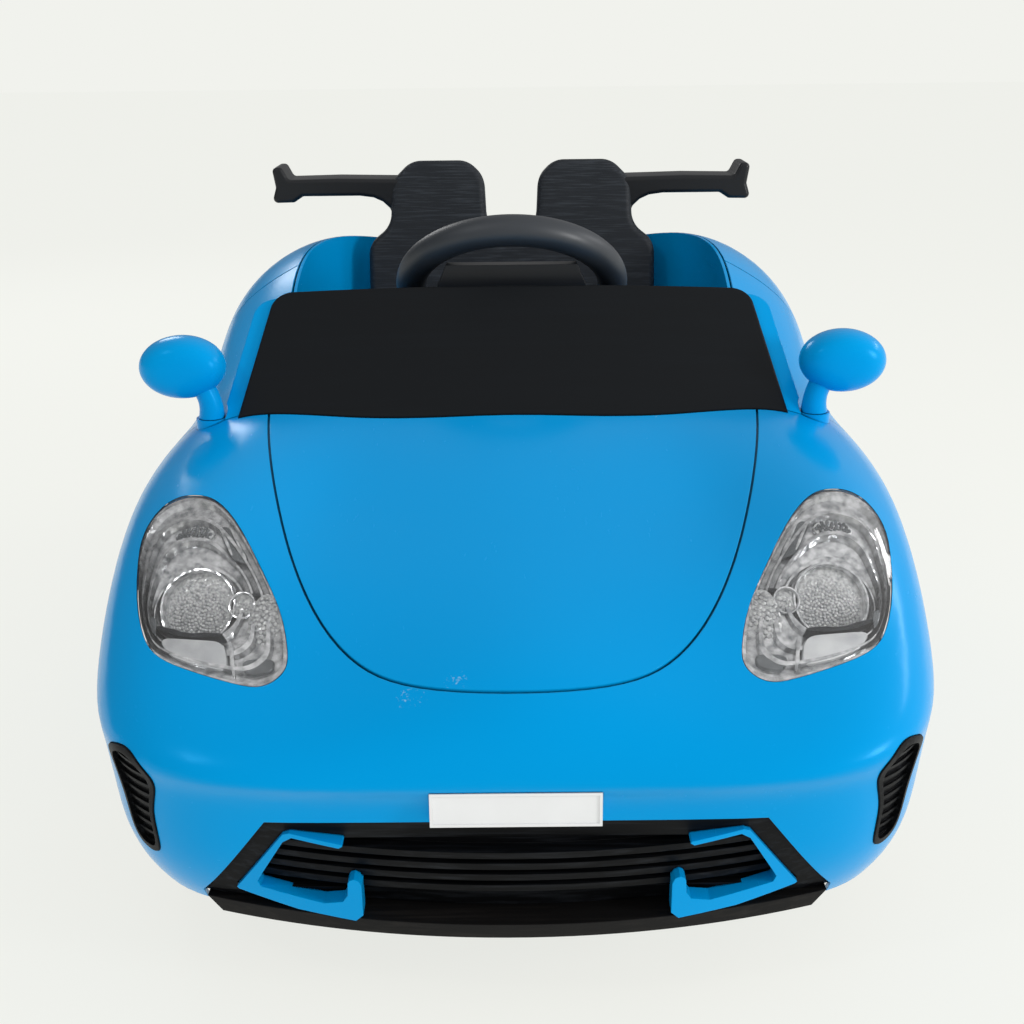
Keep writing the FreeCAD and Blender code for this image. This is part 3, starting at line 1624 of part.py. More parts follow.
def make_chassis(parts):
    pin_y = tie_line_y()
    king_y = front_axle_y
    inside = layer(BODY_CAGE, -overrun, wall + part_gap)
    slab = block(-half_width, half_width, tray_front_y, tray_rear_y, tray_z, tray_z + tray_thick)
    slab = holding(slab.cut(inside), V(0, 0, tray_z))
    for sign in (-1, 1):
        x0 = min(sign * tray_well_x, sign * half_width)
        x1 = max(sign * tray_well_x, sign * half_width)
        slab = slab.cut(
            block(x0, x1, rear_axle_y - tray_well_half, rear_axle_y + tray_well_half, 0, skin_height)
        )
    pieces = [slab]
    bridge = [
        V(-bridge_half, tray_front_y, bridge_z),
        V(bridge_half, tray_front_y, bridge_z),
        V(bridge_half, bridge_nose_y, bridge_z),
        V(bridge_nose_half, bridge_front_y, bridge_z),
        V(-bridge_nose_half, bridge_front_y, bridge_z),
        V(-bridge_half, bridge_nose_y, bridge_z),
    ]
    pieces.append(polygon_prism(bridge, UP * bridge_thick))
    pieces.append(
        block(
            -kingpin_x, kingpin_x, king_y - bridge_arm, king_y + bridge_arm, bridge_z,
            bridge_z + bridge_thick,
        )
    )
    pieces.append(
        block(
            -bridge_half, bridge_half, tray_front_y, tray_front_y + side_wall, tray_z,
            bridge_z + bridge_thick,
        )
    )
    for x in (-bridge_nose_half, 0, bridge_nose_half - rib_width):
        pieces.append(
            block(
                x, x + rib_width, bridge_front_y, bridge_nose_y, bridge_z + bridge_thick,
                bridge_z + bridge_thick + rib_height,
            )
        )
    for sign in (-1, 1):
        place = V(sign * kingpin_x, king_y, 0)
        pieces.append(rod(sleeve_radius, place + UP * sleeve_foot_z, place + UP * sleeve_top_z))
        x = sign * axle_post_x
        pieces.append(
            block(
                x - post_half, x + post_half, rear_axle_y - post_depth, rear_axle_y + post_depth, tray_z,
                post_top_z,
            )
        )
    axis = column_axis()
    bearing_mid = rim_center() - axis * (column_length * bearing_share)
    pieces.append(
        rod(
            bearing_radius, bearing_mid - axis * (bearing_length / 2),
            bearing_mid + axis * (bearing_length / 2),
        )
    )
    tray = fused(pieces)
    for sign in (-1, 1):
        place = V(sign * kingpin_x, king_y, 0)
        tray = tray.cut(rod(kingpin_radius + running_gap, place, place + UP * skin_height))
    tray = tray.cut(
        rod(
            axle_radius + running_gap, V(-half_width, rear_axle_y, wheel_radius),
            V(half_width, rear_axle_y, wheel_radius),
        )
    )
    tray = tray.cut(rod(column_radius + running_gap, rim_center() - axis * column_length, rim_center()))
    for place in strap_screw_places():
        tray = tray.cut(rod(screw_radius + seat_gap, place - UP * overrun, place + UP * overrun))
    parts["chassis_tray"] = largest(tray)


def strap_screw_places():
    # Middle of each strap foot, on top of the tray
    reach = battery_deep / 2 + seat_gap + (strap_thick + strap_foot) / 2
    return [V(battery_x, battery_y + sign * reach, tray_z + tray_thick) for sign in (-1, 1)]


def make_screw(place):
    head_foot = place + UP * (strap_thick + 2 * seat_gap)
    head_top = head_foot + UP * screw_head_thick
    head = rod(screw_head, head_foot, head_top)
    shank = rod(screw_radius, place - UP * screw_length, head_top - UP * (screw_head_thick / 2))
    slot = block(
        place.x - screw_head, place.x + screw_head, place.y - screw_slot / 2, place.y + screw_slot / 2,
        head_top.z - screw_slot, head_top.z,
    )
    return fused([head, shank]).cut(slot)


def make_power(parts):
    floor = tray_z + tray_thick + seat_gap
    x0 = battery_x - battery_wide / 2
    y0 = battery_y - battery_deep / 2
    box = block(x0, x0 + battery_wide, y0, y0 + battery_deep, floor, floor + battery_tall)
    vertical = [edge for edge in box.Edges if abs(edge.tangentAt(0).z) > upright_share]
    top = floor + battery_tall + seat_gap
    tabs = [box.makeFillet(wing_round, vertical)]
    for sign in (-1, 1):
        x = battery_x + sign * tab_spread
        tabs.append(
            block(
                x - tab_wide / 2, x + tab_wide / 2, battery_y - tab_thick / 2, battery_y + tab_thick / 2,
                floor, top + tab_tall,
            )
        )
    parts["battery"] = fused(tabs)
    gap = seat_gap
    y1 = y0 + battery_deep
    strap_top = top + strap_thick
    half = strap_wide / 2
    strap = [
        block(
            battery_x - half, battery_x + half, y0 - gap - strap_thick, y1 + gap + strap_thick, top,
            strap_top,
        ),
        block(battery_x - half, battery_x + half, y0 - gap - strap_thick, y0 - gap, floor, top),
        block(battery_x - half, battery_x + half, y1 + gap, y1 + gap + strap_thick, floor, top),
        block(
            battery_x - half, battery_x + half, y0 - gap - strap_foot, y0 - gap, floor,
            floor + strap_thick,
        ),
        block(
            battery_x - half, battery_x + half, y1 + gap, y1 + gap + strap_foot, floor,
            floor + strap_thick,
        ),
    ]
    band = fused(strap)
    screws = []
    for place in strap_screw_places():
        band = band.cut(rod(screw_radius + seat_gap, place, place + UP * (strap_thick * 2)))
        screws.append(make_screw(place))
    parts["battery_strap"] = band
    parts["strap_screws"] = Part.makeCompound(screws)


def gear_centers():
    # Output on the axle, then the two cluster gears, then the motor pinion
    places = [V(0, rear_axle_y, wheel_radius)]
    first = gear_module * (output_teeth + pinion_teeth) / 2 + gear_spread
    later = gear_module * (wheel_teeth + pinion_teeth) / 2 + gear_spread
    for step, angle in zip((first, later, later), gear_angles):
        places.append(places[-1] + V(0, math.cos(angle), math.sin(angle)) * step)
    return places


def gear_disc(teeth, start_x, face, turn):
    # Involute spur gear about the X axis at the origin, a tooth at the turn angle
    pitch = gear_module * teeth / 2
    pressure = gear_pressure
    base = pitch * math.cos(pressure)
    outer = pitch + gear_module
    root = pitch - root_share * gear_module
    half_tooth = math.pi / (2 * teeth) - gear_backlash / (2 * pitch)
    offset = math.tan(pressure) - pressure
    flank = []
    start = max(base, root)
    for i in range(flank_steps + 1):
        radius = start + (outer - start) * i / flank_steps
        roll = math.acos(min(1.0, base / radius))
        flank.append((radius, half_tooth + offset - (math.tan(roll) - roll)))
    if root < base:
        flank.insert(0, (root, flank[0][1]))
    points = []
    for tooth in range(teeth):
        middle = turn + 2 * math.pi * tooth / teeth
        for radius, angle in flank:
            points.append(V(start_x, radius * math.cos(middle - angle), radius * math.sin(middle - angle)))
        for radius, angle in reversed(flank):
            points.append(V(start_x, radius * math.cos(middle + angle), radius * math.sin(middle + angle)))
    return polygon_prism(points, SIDE * face)


def make_gears(parts):
    centers = gear_centers()
    xs = [gear_layer_x + gear_step * i for i in range(3)]
    half_pitch = [math.pi / pinion_teeth, math.pi / wheel_teeth, math.pi / output_teeth]
    angle_1, angle_2, angle_3 = gear_angles
    # The output has a tooth facing the first cluster, whose pinion has a gap facing back
    output = gear_disc(output_teeth, xs[2], gear_face, angle_1)
    dogs = dog_shape(0, 0, dog_reach)
    start = wheel_x - wheel_width / 2
    hub = rod(dog_radius, V(xs[2], 0, 0), V(start - moving_gap, 0, 0))
    dog_move = dogs.copy()
    dog_move.translate(V(start - moving_gap * 2, 0, 0))
    output = fused([output, hub] + dog_move.Solids)
    output = output.cut(rod(axle_radius + running_gap, V(0, 0, 0), V(half_width, 0, 0)))
    output.translate(V(0, centers[0].y, centers[0].z))
    parts["output_gear"] = output
    cluster_names = ("cluster_gear_rear", "cluster_gear_front")
    back_angles = (angle_1, angle_2)
    on_angles = (angle_2, angle_3)
    for i, name in enumerate(cluster_names):
        small = gear_disc(
            pinion_teeth, xs[2 - i] - part_gap, gear_face + 2 * part_gap,
            back_angles[i] + math.pi + half_pitch[0],
        )
        large = gear_disc(wheel_teeth, xs[1 - i], gear_face, on_angles[i])
        neck = rod(shaft_radius + boss_wall / 2, V(xs[1 - i], 0, 0), V(xs[2 - i] + gear_face, 0, 0))
        journal = rod(
            shaft_radius, V(case_inner_x + case_wall / 3, 0, 0), V(case_outer_x - case_wall / 3, 0, 0),
        )
        cluster = fused([small, large, neck, journal])
        cluster.translate(V(0, centers[i + 1].y, centers[i + 1].z))
        parts[name] = cluster
    pinion = gear_disc(
        pinion_teeth, xs[0] - part_gap, gear_face + 2 * part_gap, angle_3 + math.pi + half_pitch[0],
    )
    pinion = pinion.cut(rod(motor_shaft + seat_gap / 8, ORIGIN, V(half_width, 0, 0)))
    pinion.translate(V(0, centers[3].y, centers[3].z))
    shaft_start = case_inner_x - seat_gap - motor_nose + part_gap
    shaft_end = gear_layer_x + gear_face + part_gap
    shaft = rod(
        motor_shaft, V(shaft_start, centers[3].y, centers[3].z), V(shaft_end, centers[3].y, centers[3].z),
    )
    parts["motor_pinion"] = Part.makeCompound([pinion, shaft])
    make_gear_case(parts, centers)


def make_gear_case(parts, centers):
    module = gear_module
    output_r = module * (output_teeth + 2) / 2 + case_clear
    cluster_r = module * (wheel_teeth + 2) / 2 + case_clear
    pinion_r = motor_radius

    def hull(grow, x0, x1):
        along = SIDE * (x1 - x0)
        radii = (output_r + grow, cluster_r + grow, cluster_r + grow, pinion_r + grow)
        places = [V(x0, center.y, center.z) for center in centers]
        bands = [belt(places[i], radii[i], places[i + 1], radii[i + 1], along) for i in range(3)]
        return fused(bands)

    inner_half = hull(case_wall, case_inner_x, case_split_x).cut(
        hull(0, case_inner_x + case_wall, case_split_x + overrun)
    )
    outer_half = hull(case_wall, case_split_x + seat_gap, case_outer_x).cut(
        hull(0, case_split_x - overrun, case_outer_x - case_wall)
    )
    shafts = []
    for center in centers[1:3]:
        start = V(case_inner_x + case_wall / 3, center.y, center.z)
        end = V(case_outer_x - case_wall / 3, center.y, center.z)
        shafts.append(rod(shaft_radius + running_gap, start - SIDE * part_gap, end + SIDE * part_gap))
    bosses_in = []
    bosses_out = []
    xs = [gear_layer_x + gear_step * i for i in range(3)]
    for i, center in enumerate(centers[1:3]):
        low = V(case_inner_x, center.y, center.z)
        bosses_in.append(rod(shaft_radius + boss_wall, low, V(xs[1 - i] - part_gap, center.y, center.z)))
        high = V(case_outer_x, center.y, center.z)
        bosses_out.append(
            rod(shaft_radius + boss_wall, V(xs[2 - i] + gear_face + part_gap, center.y, center.z), high)
        )
    inner_half = fused([inner_half] + bosses_in)
    outer_half = fused([outer_half] + bosses_out)
    for shaft in shafts:
        inner_half = inner_half.cut(shaft)
        outer_half = outer_half.cut(shaft)
    axle_line = (V(0, rear_axle_y, wheel_radius), V(half_width, rear_axle_y, wheel_radius))
    inner_half = inner_half.cut(rod(axle_radius + running_gap, *axle_line))
    outer_half = outer_half.cut(rod(dog_radius + moving_gap, *axle_line))
    motor_center = centers[3]
    nose = (V(0, motor_center.y, motor_center.z), V(case_split_x, motor_center.y, motor_center.z))
    inner_half = inner_half.cut(rod(motor_nose + seat_gap, *nose))
    parts["gearbox_case_inner"] = largest(inner_half)
    parts["gearbox_case_outer"] = largest(outer_half)
    can_end = V(case_inner_x - seat_gap, motor_center.y, motor_center.z)
    can_start = can_end - SIDE * motor_length
    motor = fused([
        rod(motor_radius, can_start, can_end),
        rod(
            motor_nose, can_start - SIDE * (case_wall / 2),
            V(case_inner_x + case_wall / 2, motor_center.y, motor_center.z),
        ),
    ])
    bore = rod(motor_shaft + running_gap, can_end - SIDE * motor_nose, can_end + SIDE * overrun)
    parts["motor"] = motor.cut(bore)


def make_pedal(parts):
    floor = tray_z + tray_thick
    pivot = V(pedal_x, pedal_y, floor + pedal_pin_lift)
    way = V(0, -math.cos(pedal_rise), math.sin(pedal_rise))
    out = V(0, math.sin(pedal_rise), math.cos(pedal_rise))
    base = pivot - out * (pedal_thick / 2)
    points = [
        base - SIDE * pedal_half,
        base + SIDE * pedal_half,
        base + SIDE * pedal_half + way * pedal_length,
        base - SIDE * pedal_half + way * pedal_length,
    ]
    plate = round_polygon(points, pedal_thick).extrude(out * pedal_thick)
    pieces = [plate]
    for i in range(tread_rib_count):
        middle = base + out * pedal_thick + way * (pedal_length * (i + 1) / (tread_rib_count + 1))
        rib_points = [
            middle - SIDE * (pedal_half * tread_reach_share) - way * (tread_rib / 2),
            middle + SIDE * (pedal_half * tread_reach_share) - way * (tread_rib / 2),
            middle + SIDE * (pedal_half * tread_reach_share) + way * (tread_rib / 2),
            middle - SIDE * (pedal_half * tread_reach_share) + way * (tread_rib / 2),
        ]
        pieces.append(polygon_prism(rib_points, out * tread_rib_height))
    reach = SIDE * (pedal_half + pedal_lug)
    pieces.append(rod(pedal_pin_radius, pivot - reach, pivot + reach))
    parts["accelerator_pedal"] = fused(pieces)
    lugs = []
    for sign in (-1, 1):
        x = pedal_x + sign * (pedal_half + moving_gap * 2 + pedal_lug / 2)
        lug = block(
            x - pedal_lug / 2, x + pedal_lug / 2, pedal_y - pedal_lug, pedal_y + pedal_lug,
            floor + seat_gap, pivot.z + pedal_lug,
        )
        lugs.append(lug)
    box = block(
        pedal_x - box_half, pedal_x + box_half, box_y, box_y + box_deep,
        floor + seat_gap, floor + seat_gap + box_tall,
    )
    rail = block(
        pedal_x - pedal_half - pedal_lug, pedal_x + pedal_half + pedal_lug, box_y, pedal_y + pedal_lug,
        floor + seat_gap, floor + seat_gap + tread_rib,
    )
    base_part = fused(lugs + [box, rail])
    base_part = base_part.cut(rod(pedal_pin_radius + running_gap, pivot - reach * 2, pivot + reach * 2))
    parts["pedal_base"] = largest(base_part)


def make_inlet(parts):
    # Round socket for the charger's plug, its flange in a flat spot cut into the skirt
    skirt = parts["rear_skirt"]
    line = Part.LineSegment(V(inlet_x, 0, inlet_z), V(inlet_x, tail_reach + overrun, inlet_z)).toShape()
    reach = max(vertex.Point.y for vertex in skirt.common(line).Vertexes)
    floor = V(inlet_x, reach - inlet_spot, inlet_z)
    skirt = skirt.cut(rod(inlet_flange + seat_gap, floor, floor + BACK * overrun))
    skirt = skirt.cut(rod(inlet_body + seat_gap, floor - BACK * overrun, floor))
    parts["rear_skirt"] = largest(skirt)
    seat = floor + BACK * seat_gap
    mouth = seat + BACK * inlet_flange_thick
    body = rod(inlet_body, mouth - BACK * inlet_length, mouth)
    flange = rod(inlet_flange, seat, mouth)
    bore = rod(inlet_bore, mouth - BACK * inlet_bore_depth, mouth)
    parts["charging_inlet"] = fused([body, flange]).cut(bore)


def make_tail(parts):
    lens = layer(BODY_CAGE, -tail_lens_proud, tail_lens_depth)
    lamps = []
    for sign in (1, -1):
        lamps.append(largest(lens.common(tail_lamp_prism(sign, part_gap, -overrun * 2, overrun))))
    parts["tail_lamps"] = Part.makeCompound(lamps)
    sheet = layer(BODY_CAGE, -skirt_proud, skirt_depth)
    rear = block(-half_width, half_width, 0, tail_reach + overrun, 0, skin_height)
    panel = largest(sheet.common(skirt_prism(part_gap)).common(rear))
    deep = layer(BODY_CAGE, -fin_proud, skirt_depth)
    pieces = [panel]
    for i in range(fin_count):
        x = fin_pitch * (i - (fin_count - 1) / 2)
        slab = block(
            x - fin_wide / 2, x + fin_wide / 2, 0, tail_reach + overrun, 0, skirt_top_z - fin_wide * 2,
        )
        pieces.append(largest(deep.common(skirt_prism(part_gap)).common(slab)))
    parts["rear_skirt"] = largest(fused(pieces))


def make_parts():
    parts = {}
    for maker in (
        make_body, make_liner, make_lamps, make_vents, make_grille, make_plate, make_screen, make_dash,
        make_switches, make_seat, make_wings, make_mirrors, make_wheels, make_axles, make_steering,
        make_knuckles, make_chassis, make_power, make_gears, make_pedal, make_tail, make_inlet,
    ):
        maker(parts)
    return parts


os.makedirs("parts", exist_ok=True)
for node, shape in make_parts().items():
    shape.exportStep("parts/" + node + ".step")
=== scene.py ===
import logging
import math
from dataclasses import dataclass
from enum import Enum
from typing import Any, Callable, Iterable, Sequence

import bmesh
import bpy
from bmesh.types import BMesh
from bpy.types import Material, Mesh, Node, NodeSocket, NodeTree, Object
from mathutils import Euler, Matrix, Vector
from mathutils.bvhtree import BVHTree


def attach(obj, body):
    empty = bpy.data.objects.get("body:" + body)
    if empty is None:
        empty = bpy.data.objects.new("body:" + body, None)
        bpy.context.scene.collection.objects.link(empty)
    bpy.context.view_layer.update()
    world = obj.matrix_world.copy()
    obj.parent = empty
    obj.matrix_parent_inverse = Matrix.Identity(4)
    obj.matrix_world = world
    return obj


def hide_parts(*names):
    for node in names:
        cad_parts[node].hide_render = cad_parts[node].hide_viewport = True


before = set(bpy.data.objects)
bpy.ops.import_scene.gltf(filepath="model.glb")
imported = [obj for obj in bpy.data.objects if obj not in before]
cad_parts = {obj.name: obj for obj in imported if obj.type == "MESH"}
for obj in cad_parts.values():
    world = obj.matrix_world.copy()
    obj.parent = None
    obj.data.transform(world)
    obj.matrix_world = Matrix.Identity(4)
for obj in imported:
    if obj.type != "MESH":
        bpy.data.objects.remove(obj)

# Looks of a child's battery ride-on sports car: finishes, dressed pieces, light and camera.
# Metres, +Z up, the front of the car towards -Y, the car's left towards +X.

Pair = tuple[float, float]
Triple = tuple[float, float, float]
Fill = Callable[[BMesh], None]

LOG = logging.getLogger("ride_on_car")
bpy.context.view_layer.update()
MM = 0.001
PLASTIC_IOR = 1.49
SIDE = Vector((1.0, 0.0, 0.0))
BACK = Vector((0.0, 1.0, 0.0))
UP = Vector((0.0, 0.0, 1.0))
# Sockets of a node that mixes colours: the share and the two colours
SHARE, BASE, OVER = 0, 6, 7
# Radians that a wave texture turns through in one unit of its coordinate
WAVE_TURN = 20.0


class Body(Enum):
    """CAD bodies that new pieces ride on."""

    CAR = "car_body"
    WHEEL_FRONT_LEFT = "front_wheel_left"
    WHEEL_FRONT_RIGHT = "front_wheel_right"
    WHEEL_REAR_LEFT = "rear_wheel_left"
    WHEEL_REAR_RIGHT = "rear_wheel_right"


class Slot(Enum):
    """Names of the record's material slots."""

    REFLECTOR = "bright_reflector"
    SILVER = "silver_trim"
    SATIN = "black_satin"
    RED = "red_button"
    WHITE = "white_plate"
    TYRE = "tyre_plastic"
    GRAIN = "black_grain"
    ZINC = "zinc_steel"
    RED_LENS = "red_lens"
    CLEAR_LENS = "clear_lens"


class Hand(Enum):
    """Side of the car, with the sign of its X."""

    LEFT = 1
    RIGHT = -1


def linear(text: str) -> tuple[float, float, float, float]:
    """Turns an sRGB hex colour to linear light.

    Args:
        text: Colour as "#RRGGBB".

    Returns:
        Linear red, green and blue, with full alpha.
    """
    parts = [int(text[i:i + 2], 16) / 255 for i in (1, 3, 5)]
    red, green, blue = (c / 12.92 if c <= 0.04045 else ((c + 0.055) / 1.055) ** 2.4 for c in parts)
    return red, green, blue, 1.0


def per_metre(size_mm: float) -> float:
    """Scale of a texture whose feature is that many millimetres wide."""
    return 1000.0 / size_mm


def add_node(tree: NodeTree, kind: str, inputs: dict[Any, Any] | None = None, **settings: Any) -> Node:
    """Adds one node with its settings, values and links.

    Args:
        tree: Tree that gets the node.
        kind: Node type name.
        inputs: Socket name or index to a value, to a socket to link from, or to a node whose first
            working output is linked.
        settings: Attributes to set on the node.

    Returns:
        The new node.
    """
    made = tree.nodes.new(kind)
    for name, value in settings.items():
        setattr(made, name, value)
    for name, value in (inputs or {}).items():
        if isinstance(value, Node):
            value = next(socket for socket in value.outputs if socket.enabled)
        if isinstance(value, NodeSocket):
            tree.links.new(value, made.inputs[name])
        else:
            made.inputs[name].default_value = value
    return made


@dataclass(frozen=True)
class Finish:
    """A material with its procedural surface; each kind gives its own look."""

    name: str
    specular: float = 0.3
    edge_mm: float = 0.0
    # Painted shade in gaps and corners: how far the occlusion node looks, and the colour of the shade
    shade_reach_mm: float = 0.0
    shade_colour: str = "#2A2C2F"

    def build(self) -> Material:
        """Makes the material the first time.

        Returns:
            The material.
        """
        found = bpy.data.materials.get(self.name)
        if found is not None:
            return found
        made = bpy.data.materials.new(self.name)
        made.use_nodes = True
        tree = made.node_tree
        tree.nodes.clear()
        place = add_node(tree, "ShaderNodeTexCoord").outputs["Object"]
        shader = add_node(tree, "ShaderNodeBsdfPrincipled",
                          {"Specular IOR Level": self.specular, **self.look(tree, place)})
        add_node(tree, "ShaderNodeOutputMaterial", {"Surface": shader})
        return made

    def paint_shade_in_gaps(self, tree: NodeTree, shade: Node, span: Pair, **settings: Any) -> Node:
        """Paints shade into a colour in gaps and corners that the occlusion node finds closed in.

        Args:
            tree: The material's tree.
            shade: Colour in the open.
            span: Openness at which the painted shade is full, and at which it ends.
            settings: Settings of the occlusion node.

        Returns:
            The darkened colour.
        """
        reach = add_node(tree, "ShaderNodeAmbientOcclusion", {"Distance": self.shade_reach_mm * MM}, **settings)
        open_share = add_node(tree, "ShaderNodeMapRange",
                              {"Value": reach.outputs["AO"], "From Min": span[0], "From Max": span[1]})
        return add_node(tree, "ShaderNodeMix",
                        {SHARE: open_share, BASE: linear(self.shade_colour), OVER: shade}, data_type="RGBA")

    def relief(self, tree: NodeTree, height: Node | NodeSocket, strength: float, depth_mm: float) -> Node:
        """Makes a bump, over edges rounded as the mould rounds them.

        Args:
            tree: The material's tree.
            height: Height pattern.
            strength: Share of the bump.
            depth_mm: Depth of the pattern.

        Returns:
            The node that gives the normal.
        """
        inputs = {"Height": height, "Strength": strength, "Distance": depth_mm * MM}
        if self.edge_mm > 0:
            inputs["Normal"] = add_node(tree, "ShaderNodeBevel", {"Radius": self.edge_mm * MM}, samples=4)
        return add_node(tree, "ShaderNodeBump", inputs)

    def look(self, tree: NodeTree, place: NodeSocket) -> dict[str, Any]:
        """Makes the nodes of the surface.

        Args:
            tree: The material's tree.
            place: Object coordinates in metres.

        Returns:
            Input of the shader to its value, node or socket.
        """
        raise NotImplementedError


@dataclass(frozen=True)
class GlossPlastic(Finish):
    """Polypropylene moulded in a polished tool: deep colour, clear reflections, faint handling marks, painted
    shade in its panel gaps.
    """

    # Painted shade in the panel gaps: how far the occlusion node looks, and the dark blue of the shade
    shade_reach_mm: float = 3.0
    shade_colour: str = "#00121E"
    colour: str = "#009FE6"
    tone: str = "#009ADF"
    roughness: float = 0.19
    haze: float = 0.08
    drift_mm: float = 260.0
    peel_mm: float = 6.0
    peel: float = 0.02
    peel_deep_mm: float = 0.4
    smudge_mm: float = 90.0
    rub_mm: float = 3.6
    shine: str = "#4DBEF5"
    scuff: str = "#9CCDEB"
    fleck_mm: float = 2.4
    # Place and reach of each scuff in millimetres
    scuffs: tuple[tuple[float, float, float, float], ...] = ()

    def look(self, tree: NodeTree, place: NodeSocket) -> dict[str, Any]:
        """Colour drift, scuffs, painted shade in the panel gaps, hazy handling marks and a faint flow ripple.

        Args:
            tree: The material's tree.
            place: Object coordinates in metres.

        Returns:
            Input of the shader to its value or node.
        """
        drift, flecks, smudge, peel = (
            add_node(tree, "ShaderNodeTexNoise",
                     {"Vector": place, "Scale": per_metre(size), "Detail": detail, "Roughness": fine})
            for size, detail, fine in ((self.drift_mm, 2.0, 0.5), (self.fleck_mm, 5.0, 0.7),
                                       (self.smudge_mm, 5.0, 0.62), (self.peel_mm, 1.0, 0.5)))
        shade = add_node(tree, "ShaderNodeMix",
                         {SHARE: drift, BASE: linear(self.colour), OVER: linear(self.tone)}, data_type="RGBA")
        for x, y, z, reach in self.scuffs:
            away = add_node(tree, "ShaderNodeVectorMath",
                            {0: place, 1: (x * MM, y * MM, z * MM)}, operation="DISTANCE")
            near = add_node(tree, "ShaderNodeMapRange",
                            {"Value": away, "From Max": reach * MM, "To Min": 0.66, "To Max": 0.30})
            both = add_node(tree, "ShaderNodeMath", {0: near, 1: flecks}, operation="ADD")
            mark = add_node(tree, "ShaderNodeMapRange",
                            {"Value": both, "From Min": 1.16, "From Max": 1.22, "To Max": 0.6})
            shade = add_node(tree, "ShaderNodeMix",
                             {SHARE: mark, BASE: shade, OVER: linear(self.scuff)}, data_type="RGBA")
        # Painted shade: panel gaps darkened where the occlusion node finds them closed in
        shade = self.paint_shade_in_gaps(tree, shade, (0.35, 0.75), samples=4)
        # Hairline rubs are far finer than a pixel, so they are drawn about ten times too wide
        stretch = add_node(tree, "ShaderNodeMapping",
                           {"Vector": place, "Rotation": (0.2, 0.3, 0.5), "Scale": (1.0, 0.06, 1.0)})
        rubs = add_node(tree, "ShaderNodeTexNoise",
                        {"Vector": stretch, "Scale": per_metre(self.rub_mm), "Detail": 3.0})
        lines = add_node(tree, "ShaderNodeMapRange",
                         {"Value": rubs, "From Min": 0.62, "From Max": 0.78, "To Max": 0.07})
        hazy = add_node(tree, "ShaderNodeMapRange",
                        {"Value": smudge, "From Min": 0.35, "From Max": 0.75,
                         "To Min": self.roughness, "To Max": self.roughness + self.haze})
        rough = add_node(tree, "ShaderNodeMath", {0: hazy, 1: lines}, operation="ADD")
        return {"Base Color": shade, "Roughness": rough, "Specular Tint": linear(self.shine),
                "Normal": self.relief(tree, peel, self.peel, self.peel_deep_mm), "IOR": PLASTIC_IOR}


@dataclass(frozen=True)
class GrainPlastic(Finish):
    """Polypropylene from an etched tool: matte grain, and pale hairlines where it has been rubbed."""

    colour: str = "#1B1C1F"
    rubbed: str = "#34363A"
    roughness: float = 0.5
    haze: float = 0.12
    patch_mm: float = 70.0
    grain_mm: float = 1.4
    grain: float = 0.25
    grain_deep_mm: float = 0.3
    rub_scale: Triple = (0.04, 1.0, 1.0)
    rub_mm: float = 2.2
    rub_share: float = 0.5

    def look(self, tree: NodeTree, place: NodeSocket) -> dict[str, Any]:
        """Moulded grain, and rub lines along one direction.

        Args:
            tree: The material's tree.
            place: Object coordinates in metres.

        Returns:
            Input of the shader to its value or node.
        """
        stretch = add_node(tree, "ShaderNodeMapping", {"Vector": place, "Scale": self.rub_scale})
        rub = add_node(tree, "ShaderNodeTexNoise",
                       {"Vector": stretch, "Scale": per_metre(self.rub_mm), "Detail": 4.0, "Roughness": 0.6})
        patch = add_node(tree, "ShaderNodeTexNoise",
                         {"Vector": place, "Scale": per_metre(self.patch_mm), "Detail": 2.0})
        worn = add_node(tree, "ShaderNodeMapRange",
                        {"Value": rub, "From Min": 0.48, "From Max": 0.74, "To Max": self.rub_share})
        where = add_node(tree, "ShaderNodeMath", {0: worn, 1: patch}, operation="MULTIPLY")
        shade = add_node(tree, "ShaderNodeMix",
                         {SHARE: where, BASE: linear(self.colour), OVER: linear(self.rubbed)},
                         data_type="RGBA")
        rough = add_node(tree, "ShaderNodeMapRange",
                         {"Value": patch, "From Min": 0.3, "From Max": 0.7,
                          "To Min": self.roughness, "To Max": self.roughness + self.haze})
        # Etched grain is about 0.1 mm, drawn near 1 mm so that it shows
        grain = add_node(tree, "ShaderNodeTexNoise",
                         {"Vector": place, "Scale": per_metre(self.grain_mm), "Detail": 2.0})
        height = add_node(tree, "ShaderNodeMath", {0: grain, 1: rub}, operation="ADD")
        return {"Base Color": shade, "Roughness": rough, "IOR": PLASTIC_IOR,
                "Normal": self.relief(tree, height, self.grain, self.grain_deep_mm)}


@dataclass(frozen=True)
class ClearPlastic(Finish):
    """Polycarbonate or acrylic lens: clear or tinted, bright edge reflections."""

    colour: str = "#FFFFFF"
    roughness: float = 0.03
    haze: float = 0.04
    haze_mm: float = 25.0
    transmission: float = 1.0
    rib_mm: float = 0.0
    rib: float = 0.5
    rib_deep_mm: float = 1.0

    def look(self, tree: NodeTree, place: NodeSocket) -> dict[str, Any]:
        """A clear body, and moulded ribs where the lens has them.

        Args:
            tree: The material's tree.
            place: Object coordinates in metres.

        Returns:
            Input of the shader to its value or node.
        """
        haze = add_node(tree, "ShaderNodeTexNoise",
                        {"Vector": place, "Scale": per_metre(self.haze_mm), "Detail": 2.0})
        rough = add_node(tree, "ShaderNodeMapRange",
                         {"Value": haze, "To Min": self.roughness, "To Max": self.roughness + self.haze})
        look = {"Base Color": linear(self.colour), "Roughness": rough,
                "Transmission Weight": self.transmission, "IOR": PLASTIC_IOR}
        if self.rib_mm > 0:
            scale = 2 * math.pi * per_metre(self.rib_mm) / WAVE_TURN
            ribs = add_node(tree, "ShaderNodeTexWave",
                            {"Vector": place, "Scale": scale, "Distortion": 0.0}, bands_direction="X")
            look["Normal"] = self.relief(tree, ribs.outputs["Fac"], self.rib, self.rib_deep_mm)
        return look


